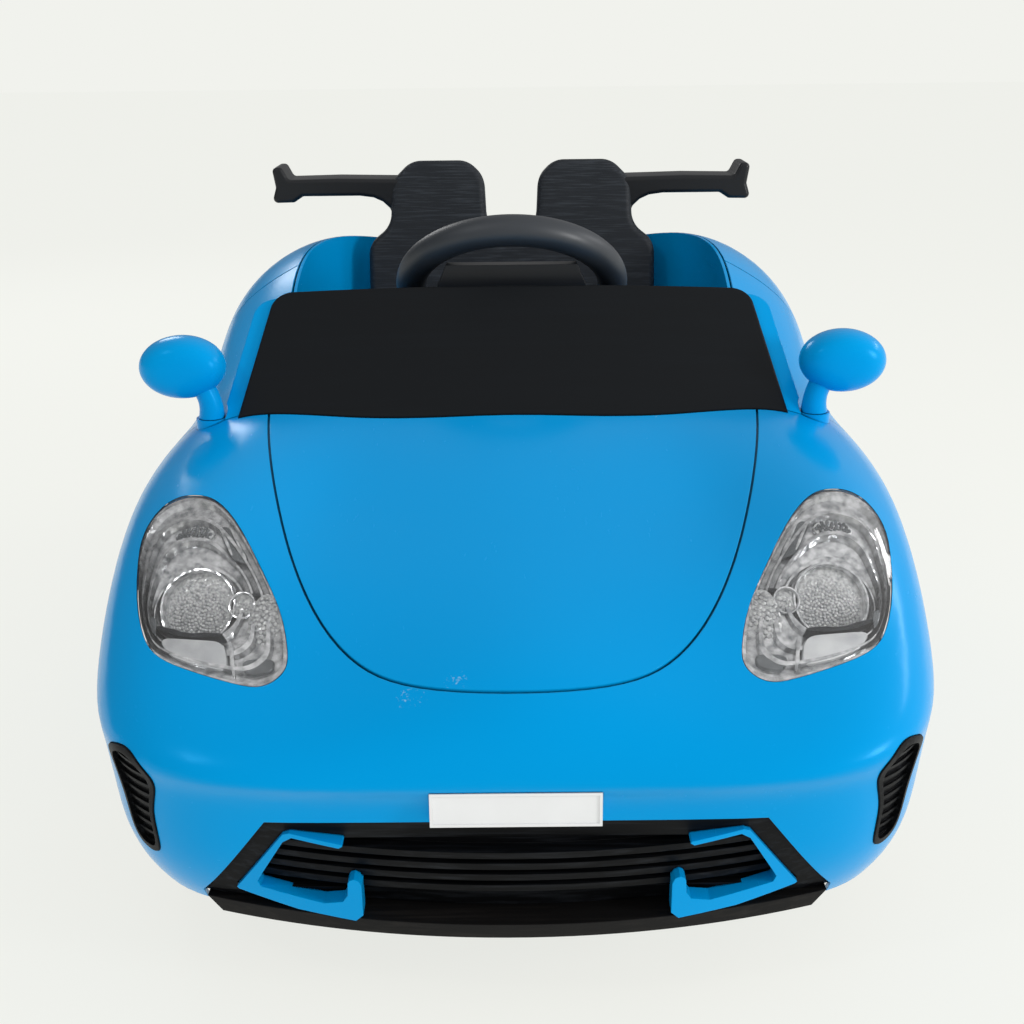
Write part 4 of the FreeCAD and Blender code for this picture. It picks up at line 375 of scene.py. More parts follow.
@dataclass(frozen=True)
class BrightMetal(Finish):
    """Metal or metallised plastic: mirror-like, with pillow optics or a drawn grain where given, and painted
    shade in its corners where given.
    """

    colour: str = "#D8DADC"
    dark: str = "#A4A7AB"
    roughness: float = 0.12
    cell_mm: float = 0.0
    cell_strength: float = 0.6
    cell_deep_mm: float = 1.0
    grain_mm: float = 0.0
    patch_mm: float = 30.0
    metallic: float = 1.0

    def look(self, tree: NodeTree, place: NodeSocket) -> dict[str, Any]:
        """Uneven metal, with facets or grain, and painted shade in its corners where given.

        Args:
            tree: The material's tree.
            place: Object coordinates in metres.

        Returns:
            Input of the shader to its value or node.
        """
        # Darker patches at random; where they are as fine as on the pillow optics, they paint in a sparkle
        patch = add_node(tree, "ShaderNodeTexNoise",
                         {"Vector": place, "Scale": per_metre(self.patch_mm), "Detail": 4.0})
        share = add_node(tree, "ShaderNodeMapRange", {"Value": patch, "From Min": 0.35, "From Max": 0.68})
        shade = add_node(tree, "ShaderNodeMix",
                         {SHARE: share, BASE: linear(self.colour), OVER: linear(self.dark)}, data_type="RGBA")
        if self.shade_reach_mm > 0:
            # Painted shade: corners darkened where the occlusion node, looking at this piece only, finds them
            # closed in
            shade = self.paint_shade_in_gaps(tree, shade, (0.25, 0.85), samples=6, only_local=True)
        rough = add_node(tree, "ShaderNodeMapRange",
                         {"Value": patch, "To Min": self.roughness * 0.8, "To Max": self.roughness * 1.4})
        look = {"Base Color": shade, "Roughness": rough, "Metallic": self.metallic}
        if self.cell_mm > 0:
            cells = add_node(tree, "ShaderNodeTexVoronoi",
                             {"Vector": place, "Scale": per_metre(self.cell_mm)}, feature="SMOOTH_F1")
            look["Normal"] = self.relief(tree, cells, self.cell_strength, self.cell_deep_mm)
        elif self.grain_mm > 0:
            grain = add_node(tree, "ShaderNodeTexNoise",
                             {"Vector": place, "Scale": per_metre(self.grain_mm), "Detail": 3.0})
            look["Normal"] = self.relief(tree, grain, self.cell_strength, self.cell_deep_mm)
        return look


@dataclass(frozen=True)
class PaintedPlastic(Finish):
    """Plastic with a plain or metallic paint or print: even colour, light orange peel."""

    colour: str = "#F4F5F3"
    roughness: float = 0.3
    metallic: float = 0.0
    drift_mm: float = 40.0
    drift: float = 0.12
    peel_mm: float = 2.0
    peel: float = 0.05
    peel_deep_mm: float = 0.2
    glow: str = ""

    def look(self, tree: NodeTree, place: NodeSocket) -> dict[str, Any]:
        """A slightly uneven coat.

        Args:
            tree: The material's tree.
            place: Object coordinates in metres.

        Returns:
            Input of the shader to its value or node.
        """
        drift = add_node(tree, "ShaderNodeTexNoise",
                         {"Vector": place, "Scale": per_metre(self.drift_mm), "Detail": 4.0})
        shade = add_node(tree, "ShaderNodeMix",
                         {SHARE: self.drift, BASE: linear(self.colour), OVER: drift},
                         data_type="RGBA", blend_type="MULTIPLY")
        rough = add_node(tree, "ShaderNodeMapRange",
                         {"Value": drift, "To Min": self.roughness * 0.85, "To Max": self.roughness * 1.25})
        peel = add_node(tree, "ShaderNodeTexNoise", {"Vector": place, "Scale": per_metre(self.peel_mm)})
        look = {"Base Color": shade, "Roughness": rough, "Metallic": self.metallic,
                "Normal": self.relief(tree, peel, self.peel, self.peel_deep_mm)}
        if self.glow:
            look |= {"Emission Color": linear(self.glow), "Emission Strength": 1.0}
        return look


# Finishes of this car, named for the real material
# Moulded blue polypropylene: deep even colour, soft clear highlights, pale scuffs at the bonnet's edge,
# painted shade in the panel gaps
BODY_BLUE = GlossPlastic("blue_polypropylene_gloss", specular=0.3, edge_mm=0.9,
                         scuffs=((-38.0, -470.0, 235.0, 26.0), (-70.0, -480.0, 228.0, 30.0),
                                 (118.0, -170.0, 329.0, 10.0)))
# Blown black polyethylene screen: dull sheen with soft edges
SCREEN_BLACK = GrainPlastic("black_polyethylene_screen", specular=0.16, edge_mm=3.0, colour="#0A0E12",
                            rubbed="#12181E", roughness=0.40, grain_mm=1.0, grain=0.05, rub_mm=9.0,
                            rub_share=0.3)
# Moulded black polypropylene grille: near black with pale rubs along the slats
GRILLE_BLACK = GrainPlastic("black_polypropylene_grille", specular=0.14, edge_mm=0.8, colour="#08090B",
                            rubbed="#3A3E44", roughness=0.40, grain_mm=1.6, grain=0.2,
                            rub_scale=(0.05, 1.0, 1.0), rub_mm=3.0, rub_share=0.6)
# Moulded black polypropylene lip: matte, slightly worn to brown
LIP_BLACK = GrainPlastic("black_polypropylene_lip", specular=0.2, edge_mm=1.2, colour="#100F0F",
                         rubbed="#3A3632", grain_mm=1.8, grain=0.3, rub_mm=4.0)
# Blown black polyethylene seat: matte grain with fine hairlines across it
SEAT_BLACK = GrainPlastic("black_polyethylene_seat", edge_mm=1.5, colour="#1B2026", rubbed="#555C64",
                          grain_mm=1.2, grain=0.3, rub_scale=(0.05, 1.0, 1.0), rub_mm=1.8, rub_share=0.7)
# Moulded black polypropylene with a satin tool: even blue-black sheen
SMOOTH_BLACK = GrainPlastic("black_polypropylene_satin", specular=0.34, edge_mm=1.0, colour="#101317",
                            rubbed="#22262B", roughness=0.34, grain_mm=1.2, grain=0.05, rub_mm=6.0,
                            rub_share=0.3)
# Blown black polyethylene steering wheel: handled to a soft blue-black sheen
RIM_BLACK = GrainPlastic("black_polyethylene_rim", specular=0.7, edge_mm=0.8, colour="#22282F",
                         rubbed="#343B43", roughness=0.38, grain_mm=1.2, grain=0.05, rub_mm=6.0,
                         rub_share=0.3)
# Blown black polyethylene floor: coarse matte grain
FLOOR_BLACK = GrainPlastic("black_polyethylene_tray", specular=0.2, edge_mm=0.8, colour="#1C1D20",
                           rubbed="#3A3C40", roughness=0.55, grain_mm=2.0, grain=0.3, rub_mm=4.0)
# Blown black polyethylene wheel: dull grey-black, scuffed all over
TYRE_BLACK = GrainPlastic("black_polyethylene_wheel", specular=0.2, edge_mm=0.8, colour="#131416",
                          rubbed="#37383A", roughness=0.52, grain_mm=1.8, grain=0.3,
                          rub_scale=(1.0, 1.0, 1.0), rub_mm=7.0)
# Moulded grey ABS gear case: plain fine grain
CASE_GREY = GrainPlastic("grey_abs_case", colour="#3A3C40", rubbed="#55585C", roughness=0.48, grain_mm=1.6)
# Natural nylon gears: warm off-white, a little waxy
NYLON_WHITE = GrainPlastic("natural_nylon", colour="#E4E0D2", rubbed="#CFCAB9", roughness=0.42, grain=0.1)
# Polycarbonate lamp lens: clear, with bright edges
LENS_CLEAR = ClearPlastic("clear_polycarbonate", specular=0.5)
# Red acrylic tail lens: deep red over broad moulded flutes
LENS_RED = ClearPlastic("red_acrylic", specular=0.5, colour="#C40812", roughness=0.08, transmission=0.55,
                        rib_mm=25.13)
# Epoxy dome of a light-emitting diode: milky clear
DOME_CLEAR = ClearPlastic("clear_epoxy_dome", specular=0.5, colour="#FBF8EC", roughness=0.06,
                          transmission=0.5)
# Vacuum-metallised ABS under clear lacquer: bright, milky, wavy, with painted shade in its corners
METALLISED = BrightMetal("metallised_abs", specular=0.5, colour="#FAFBFC", dark="#94979A", roughness=0.13,
                         cell_mm=5.0, cell_strength=0.5, patch_mm=6.0, shade_reach_mm=5.0, shade_colour="#4A4D50",
                         metallic=0.7)
# The same metal on pillow optics: near-white, with fine darker speckles that paint in a sparkle, and painted
# shade in its corners
PILLOW = BrightMetal("metallised_abs_pillow", specular=0.5, colour="#FAFBFB", dark="#AEB1B3", roughness=0.2,
                     cell_mm=2.2, cell_strength=0.6, patch_mm=2.6, shade_reach_mm=1.6, shade_colour="#7C7F82",
                     metallic=0.35)
# Grey metallised ABS: grey panels between the bright steps, painted shade and darker reflection there, with
# painted shade in their corners
SHADE_GREY = BrightMetal("smoked_metallised_abs", specular=0.5, colour="#83878A", dark="#55595C", roughness=0.22,
                     cell_mm=9.0, cell_strength=0.2, patch_mm=12.0, shade_reach_mm=6.0)
# Dark strips of the same metal: painted shade along the ledges, where shadow falls
SHADE_GREY_EDGE = BrightMetal("smoked_metallised_edge", specular=0.5, colour="#3C3F42", dark="#26282B",
                          roughness=0.3, patch_mm=9.0)
# Clear polycarbonate over bright metal: smooth near-white window, with painted shade in its corners
BRIGHT = BrightMetal("metallised_abs_window", specular=0.5, colour="#F6F8F9", dark="#D2D5D8", roughness=0.1,
                     cell_mm=18.0, cell_strength=0.2, patch_mm=20.0, shade_reach_mm=4.0, shade_colour="#6A6D70",
                     metallic=0.6)
# Silvered acrylic: a plain mirror
MIRROR = BrightMetal("mirror_acrylic", specular=0.5, colour="#E6E9EB", dark="#DADDE0", roughness=0.03)
# Zinc-plated steel: pale grey with a fine drawn grain
ZINC = BrightMetal("zinc_plated_steel", specular=0.5, edge_mm=0.4, colour="#B9BCC0", dark="#9A9DA2",
                   roughness=0.3, grain_mm=1.5, cell_strength=0.15)
# Silver paint on ABS wheel covers: soft metallic sheen
SILVER = PaintedPlastic("silver_painted_abs", specular=0.5, edge_mm=0.6, colour="#B4B8BE", roughness=0.32,
                        metallic=0.75)
# White PVC plate: clean, slightly glossy
PLATE_WHITE = PaintedPlastic("white_pvc_plate", edge_mm=0.4, colour="#F6F7F8", roughness=0.35)
# Red and grey ABS buttons: plain satin
BUTTON_RED = PaintedPlastic("red_abs_button", edge_mm=0.5, colour="#C81E1E", roughness=0.28)
BUTTON_GREY = PaintedPlastic("grey_abs_button", edge_mm=0.5, colour="#8E9297")
# Printed dial: black card with white marks
DIAL_FACE = PaintedPlastic("printed_dial_black", colour="#0C0D10", roughness=0.25)
DIAL_MARK = PaintedPlastic("printed_dial_white", colour="#F2F3F0", roughness=0.4)
# Matte studio floor, lit from within so that it meets the sky without a line
STUDIO_FLOOR = PaintedPlastic("studio_floor_paint", specular=0.0, colour="#6C6D6A", roughness=0.9,
                              drift_mm=900.0, drift=0.02, glow="#E3E4DF")

NODE_FINISH: dict[Finish, tuple[str, ...]] = {
    BODY_BLUE: ("body_shell", "hood_panel", "cockpit_liner", "screen_frame", "grille_trims",
                "mirror_housing_left", "mirror_housing_right", "mirror_sockets"),
    SCREEN_BLACK: ("windscreen",),
    GRILLE_BLACK: ("corner_vents", "front_grille"),
    LIP_BLACK: ("front_lip", "rear_skirt"),
    SEAT_BLACK: ("seat_base", "seat_back"),
    SMOOTH_BLACK: ("rear_wings", "dash_panel", "switch_bezels", "direction_rocker", "charging_inlet"),
    RIM_BLACK: ("steering_wheel", "steering_pad"),
    FLOOR_BLACK: ("accelerator_pedal", "pedal_base", "chassis_tray", "battery_strap", "battery"),
    TYRE_BLACK: ("wheel_front_left", "wheel_front_right", "wheel_rear_left", "wheel_rear_right"),
    CASE_GREY: ("gearbox_case_inner", "gearbox_case_outer"),
    NYLON_WHITE: ("output_gear", "cluster_gear_rear", "cluster_gear_front"),
    LENS_CLEAR: ("headlamp_lenses",),
    LENS_RED: ("tail_lamps",),
    DOME_CLEAR: ("headlamp_leds",),
    METALLISED: ("headlamp_reflectors",),
    MIRROR: ("mirror_glass_left", "mirror_glass_right"),
    ZINC: ("rear_axle", "steering_column", "knuckle_left", "knuckle_right", "knuckle_keepers_left",
           "knuckle_keepers_right", "tie_rod", "strap_screws", "motor_pinion", "motor"),
    SILVER: ("wheel_cover_front_left", "wheel_cover_front_right", "wheel_cover_rear_left",
             "wheel_cover_rear_right"),
    PLATE_WHITE: ("number_plate",),
    BUTTON_RED: ("horn_button", "power_rocker"),
    BUTTON_GREY: ("music_button",),
}


def dress_nodes() -> None:
    """Gives every CAD node its finish."""
    for finish, nodes in NODE_FINISH.items():
        for name in nodes:
            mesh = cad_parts[name].data
            mesh.materials.clear()
            mesh.materials.append(finish.build())
        LOG.info("finish %s on %d nodes", finish.name, len(nodes))


def link_mesh(name: str, mesh: Mesh, finish: Finish, body: Body = Body.CAR) -> Object:
    """Makes a mesh a piece that rides on a CAD body.

    Args:
        name: Name of the piece.
        mesh: Finished mesh, placed in the car's frame.
        finish: Its finish.
        body: Body it rides on.

    Returns:
        The new object.
    """
    piece = bpy.data.objects.new(name, mesh)
    bpy.context.scene.collection.objects.link(piece)
    mesh.materials.clear()
    mesh.materials.append(finish.build())
    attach(piece, body.value)
    LOG.info("piece %s: %d faces on %s", name, len(mesh.polygons), body.value)
    return piece


def mesh_from(name: str, fill: Fill, smooth_deg: float = 35.0) -> Mesh:
    """Builds a mesh in a bmesh, with faces out and smooth shading below an angle.

    Args:
        name: Name of the mesh.
        fill: Function that fills the bmesh.
        smooth_deg: Edges that turn more than this stay sharp.

    Returns:
        The new mesh.
    """
    work = bmesh.new()
    fill(work)
    bmesh.ops.remove_doubles(work, verts=work.verts, dist=1e-6)
    bmesh.ops.recalc_face_normals(work, faces=work.faces)
    for face in work.faces:
        face.smooth = True
    for edge in work.edges:
        edge.smooth = len(edge.link_faces) == 2 and edge.calc_face_angle(0.0) < math.radians(smooth_deg)
    mesh = bpy.data.meshes.new(name)
    work.to_mesh(mesh)
    work.free()
    return mesh


def mould(name: str, fill: Fill, finish: Finish, smooth_deg: float = 35.0) -> Object:
    """Builds a piece of the car's body in one go; the values are those of mesh_from and link_mesh."""
    return link_mesh(name, mesh_from(name, fill, smooth_deg), finish)


def bridge_rings(work: BMesh, rings: Sequence[Sequence[Vector]], capped: bool = False) -> None:
    """Adds a skin through closed rings of points.

    Args:
        work: Mesh that gets the skin.
        rings: Rings with the same number of points.
        capped: Whether the first and last rings are filled.
    """
    rows = [[work.verts.new(point) for point in ring] for ring in rings]
    count = len(rows[0])
    for low, high in zip(rows, rows[1:]):
        for i in range(count):
            j = (i + 1) % count
            work.faces.new((low[i], low[j], high[j], high[i]))
    if capped:
        work.faces.new(list(reversed(rows[0])))
        work.faces.new(rows[-1])


def surface_of(*nodes: str) -> BVHTree:
    """Ray-casting tree over CAD nodes at rest.

    Args:
        nodes: Names of the nodes.

    Returns:
        One tree over all their faces.
    """
    points: list[Vector] = []
    faces: list[tuple[int, ...]] = []
    for name in nodes:
        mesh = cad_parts[name].data
        base = len(points)
        points += [v.co.copy() for v in mesh.vertices]
        faces += [tuple(base + i for i in p.vertices) for p in mesh.polygons]
    return BVHTree.FromPolygons(points, faces)


def closed_curve(points: Sequence[Pair], per: int = 6) -> list[Pair]:
    """Runs a smooth closed curve through points.

    Args:
        points: Points in order round the curve.
        per: Points made for each point given.

    Returns:
        The points of the curve.
    """
    made: list[Pair] = []
    count = len(points)
    for i in range(count):
        around = [points[(i + k) % count] for k in (-1, 0, 1, 2)]
        for step in range(per):
            t = step / per
            made.append(tuple(
                0.5 * (2 * b + (c - a) * t + (2 * a - 5 * b + 4 * c - d) * t * t
                       + (3 * b - a - 3 * c + d) * t ** 3)
                for a, b, c, d in zip(*around)))
    return made


def rounded(corners: Sequence[Pair], times: int = 3, cut: float = 0.2) -> list[Pair]:
    """Cuts the corners of a closed outline until they are round.

    Args:
        corners: Corners in order.
        times: How often each corner is cut.
        cut: Share of a side that each cut takes.

    Returns:
        The points of the rounded outline.
    """
    ring = list(corners)
    for _ in range(times):
        made: list[Pair] = []
        for (ax, ay), (bx, by) in zip(ring, ring[1:] + ring[:1]):
            for near, far in ((1 - cut, cut), (cut, 1 - cut)):
                made.append((ax * near + bx * far, ay * near + by * far))
        ring = made
    return ring


def turns(count: int) -> list[float]:
    """Angles round a full turn, in equal steps."""
    return [2 * math.pi * i / count for i in range(count)]


def ellipse(place: Matrix, half: Pair, height: float, count: int) -> list[Vector]:
    """Ring of points over a seat, from its half sizes and height in millimetres."""
    return [place @ (Vector((half[0] * math.cos(t), half[1] * math.sin(t), height)) * MM)
            for t in turns(count)]


def seat(origin: Vector, across: Vector, along: Vector, out: Vector) -> Matrix:
    """Matrix that sets a piece on a point with its own directions."""
    return Matrix.Translation(origin) @ Matrix((across, along, out)).transposed().to_4x4()


def lathe(work: BMesh, place: Matrix, profile: Sequence[Pair], closed: bool = False, count: int = 56) -> None:
    """Adds a turned form.

    Args:
        work: Mesh that gets the form.
        place: Where its axis stands.
        profile: Radius and height in millimetres, along the form.
        closed: Whether the profile closes on itself, as on a ring.
        count: Points round the form.
    """
    rows = [*profile, profile[0]] if closed else profile
    rings = [ellipse(place, (radius, radius), height, count) for radius, height in rows]
    bridge_rings(work, rings, capped=not closed)


def new_tree(name: str, sockets: dict[str, str]) -> tuple[NodeTree, Node]:
    """Makes a Geometry Nodes tree with named inputs and a material.

    Args:
        name: Name of the tree.
        sockets: Input name to the kind of its socket.

    Returns:
        The tree and its input node.
    """
    tree = bpy.data.node_groups.new(name, "GeometryNodeTree")
    tree.interface.new_socket("Geometry", in_out="OUTPUT", socket_type="NodeSocketGeometry")
    for label, kind in {"Geometry": "Geometry", **sockets, "Material": "Material"}.items():
        tree.interface.new_socket(label, in_out="INPUT", socket_type="NodeSocket" + kind)
    return tree, add_node(tree, "NodeGroupInput")


def end_tree(tree: NodeTree, given: Node, spread: dict[str, Any]) -> NodeTree:
    """Ends a tree with a form on every point, as real faces with smooth shading and a material.

    Args:
        tree: The tree.
        given: Its input node.
        spread: The points, the form on them, and its turn or scale.

    Returns:
        The same tree.
    """
    forms = add_node(tree, "GeometryNodeInstanceOnPoints", spread)
    real = add_node(tree, "GeometryNodeRealizeInstances", {"Geometry": forms})
    smooth = add_node(tree, "GeometryNodeSetShadeSmooth", {"Geometry": real})
    dressed = add_node(tree, "GeometryNodeSetMaterial",
                       {"Geometry": smooth, "Material": given.outputs["Material"]})
    add_node(tree, "NodeGroupOutput", {"Geometry": dressed})
    return tree


def grow(name: str, tree: NodeTree, values: dict[str, Any], start: Mesh | None = None) -> Mesh:
    """Runs a tree and keeps its result as a plain mesh.

    Args:
        name: Name of the mesh.
        tree: Geometry Nodes tree.
        values: Input name to value.
        start: Mesh that the tree starts from, if it needs one.

    Returns:
        The new mesh.
    """
    carrier = bpy.data.objects.new(name + "_carrier", start or bpy.data.meshes.new(name + "_start"))
    bpy.context.scene.collection.objects.link(carrier)
    maker = carrier.modifiers.new("maker", "NODES")
    maker.node_group = tree
    for item in tree.interface.items_tree:
        if item.item_type == "SOCKET" and item.in_out == "INPUT" and item.name in values:
            maker[item.identifier] = values[item.name]
    depsgraph = bpy.context.evaluated_depsgraph_get()
    mesh = bpy.data.meshes.new_from_object(carrier.evaluated_get(depsgraph), depsgraph=depsgraph)
    mesh.name = name
    carrier.modifiers.remove(maker)
    bpy.data.objects.remove(carrier)
    return mesh


def joined(name: str, meshes: Iterable[Mesh]) -> Mesh:
    """Joins meshes that share a finish into one.

    Args:
        name: Name of the joined mesh.
        meshes: Meshes to join; they are used up.

    Returns:
        The joined mesh.
    """
    work = bmesh.new()
    for mesh in meshes:
        work.from_mesh(mesh)
        bpy.data.meshes.remove(mesh)
    whole = bpy.data.meshes.new(name)
    work.to_mesh(whole)
    work.free()
    return whole


def arc_tree() -> NodeTree:
    """Tree that sets bars along an arc, such as dial marks and tyre ribs.

    Returns:
        The tree.
    """
    tree, given = new_tree("bars_on_arc", {"Count": "Int", "Radius": "Float", "Start": "Float",
                                           "Step": "Float", "Size": "Vector"})
    spots = add_node(tree, "GeometryNodePoints", {"Count": given.outputs["Count"]})
    index = add_node(tree, "GeometryNodeInputIndex")
    angle = add_node(tree, "ShaderNodeMath",
                     {0: index, 1: given.outputs["Step"], 2: given.outputs["Start"]},
                     operation="MULTIPLY_ADD")
    east = add_node(tree, "ShaderNodeMath", {0: angle}, operation="COSINE")
    north = add_node(tree, "ShaderNodeMath", {0: angle}, operation="SINE")
    way = add_node(tree, "ShaderNodeCombineXYZ", {0: east, 1: north})
    place = add_node(tree, "ShaderNodeVectorMath", {0: way, "Scale": given.outputs["Radius"]},
                     operation="SCALE")
    ring = add_node(tree, "GeometryNodeSetPosition", {"Geometry": spots, "Position": place})
    euler = add_node(tree, "ShaderNodeCombineXYZ", {2: angle})
    turn = add_node(tree, "FunctionNodeEulerToRotation", {0: euler})
    bar = add_node(tree, "GeometryNodeMeshCube", {"Size": given.outputs["Size"]})
    soft = add_node(tree, "GeometryNodeSubdivisionSurface", {"Mesh": bar, "Level": 1, "Edge Crease": 0.75})
    return end_tree(tree, given, {"Points": ring, "Instance": soft, "Rotation": turn})


def bead_tree() -> NodeTree:
    """Tree that lays beads over a dome in a sunflower spiral, as pillow optics lie.

    Returns:
        The tree.
    """
    tree, given = new_tree("beads_on_dome", {"Count": "Int", "Half Across": "Float", "Half Along": "Float",
                                             "Rise": "Float", "Bead": "Float"})
    golden = math.pi * (3.0 - math.sqrt(5.0))
    spots = add_node(tree, "GeometryNodePoints", {"Count": given.outputs["Count"]})
    index = add_node(tree, "GeometryNodeInputIndex")
    middle = add_node(tree, "ShaderNodeMath", {0: index, 1: 0.5}, operation="ADD")
    share = add_node(tree, "ShaderNodeMath", {0: middle, 1: given.outputs["Count"]}, operation="DIVIDE")
    reach = add_node(tree, "ShaderNodeMath", {0: share}, operation="SQRT")
    angle = add_node(tree, "ShaderNodeMath", {0: index, 1: golden}, operation="MULTIPLY")
    east = add_node(tree, "ShaderNodeMath", {0: angle}, operation="COSINE")
    north = add_node(tree, "ShaderNodeMath", {0: angle}, operation="SINE")
    out = add_node(tree, "ShaderNodeMath", {0: 1.0, 1: share}, operation="SUBTRACT")
    flat = add_node(tree, "ShaderNodeCombineXYZ", {0: east, 1: north})
    wide = add_node(tree, "ShaderNodeVectorMath", {0: flat, "Scale": reach}, operation="SCALE")
    lift = add_node(tree, "ShaderNodeCombineXYZ", {2: out})
    unit = add_node(tree, "ShaderNodeVectorMath", {0: wide, 1: lift}, operation="ADD")
    size = add_node(tree, "ShaderNodeCombineXYZ", {0: given.outputs["Half Across"],
                                                   1: given.outputs["Half Along"], 2: given.outputs["Rise"]})
    place = add_node(tree, "ShaderNodeVectorMath", {0: unit, 1: size}, operation="MULTIPLY")
    laid = add_node(tree, "GeometryNodeSetPosition", {"Geometry": spots, "Position": place})
    bead = add_node(tree, "GeometryNodeMeshUVSphere",
                    {"Segments": 8, "Rings": 6, "Radius": given.outputs["Bead"]})
    return end_tree(tree, given, {"Points": laid, "Instance": bead, "Scale": (1.0, 1.0, 0.55)})


def row_tree() -> NodeTree:
    """Tree that sets soft-edged bars in a row.

    Returns:
        The tree.
    """
    tree, given = new_tree("bars_in_row", {"Count": "Int", "Pitch": "Float", "Size": "Vector"})
    spots = add_node(tree, "GeometryNodePoints", {"Count": given.outputs["Count"]})
    index = add_node(tree, "GeometryNodeInputIndex")
    shift = add_node(tree, "ShaderNodeMath", {0: index, 1: given.outputs["Pitch"]}, operation="MULTIPLY")
    place = add_node(tree, "ShaderNodeCombineXYZ", {1: shift})
    row = add_node(tree, "GeometryNodeSetPosition", {"Geometry": spots, "Position": place})
    bar = add_node(tree, "GeometryNodeMeshCube", {"Size": given.outputs["Size"]})
    soft = add_node(tree, "GeometryNodeSubdivisionSurface", {"Mesh": bar, "Level": 2, "Edge Crease": 0.7})
    return end_tree(tree, given, {"Points": row, "Instance": soft})


def head_tree() -> NodeTree:
    """Tree that sets a screw head on each point, along the point's own axis.

    Returns:
        The tree.
    """
    tree, given = new_tree("heads_on_points", {"Head": "Object"})
    axis = add_node(tree, "GeometryNodeInputNamedAttribute", {"Name": "axis"}, data_type="FLOAT_VECTOR")
    turn = add_node(tree, "FunctionNodeAlignRotationToVector", {"Vector": axis}, axis="Z")
    head = add_node(tree, "GeometryNodeObjectInfo", {"Object": given.outputs["Head"]})
    return end_tree(tree, given, {"Points": given.outputs["Geometry"], "Instance": head.outputs["Geometry"],
                                  "Rotation": turn})


@dataclass(frozen=True)
class BeadPatch:
    """A patch of pillow optics over a low dome; sizes in millimetres."""

    centre: Pair
    depth: float
    half: Pair
    rise: float
    beads: int
    bead: float
    finish: Finish
    tilt_deg: float = 8.0


@dataclass(frozen=True)
class LampCup:
    """A forward-facing cup in the lamp: a ring round a domed disc of beads; sizes in millimetres."""

    centre: Pair
    depth: float
    radius: float
    wall: float
    rise: float
    beads: int
    bead: float
    tilt_deg: float = 20.0
    lip_most: float = 1.5
    lip_share: float = 0.1
    # Widths of lip from the outside of the ring to the disc and to the beads
    disc_lips: float = 1.8
    bead_lips: float = 3.2
    disc_drop: float = 2.2
    disc_thick: float = 3.0
    bead_drop: float = 2.4

    @property
    def lip(self) -> float:
        """Width of the ring's rounded edge."""
        return min(self.lip_most, self.radius * self.lip_share)

    @property
    def patch(self) -> BeadPatch:
        """The beads over the cup's disc, clear of the ring.

        Returns:
            The patch, tilted as the cup is.
        """
        reach = self.radius - self.bead_lips * self.lip
        depth = self.depth + self.rise + self.bead_drop
        return BeadPatch(self.centre, depth, (reach, reach), self.rise, self.beads, self.bead, PILLOW,
                         self.tilt_deg)


@dataclass(frozen=True)
class LampPanel:
    """A panel set between the cups, with its top following the lens; sizes in millimetres."""

    corners: tuple[Pair, ...]
    depth: float
    finish: Finish
    skirt: float = 14.0
    chamfer: float = 0.8
    crown: float = 0.2
    crown_share: float = 0.5


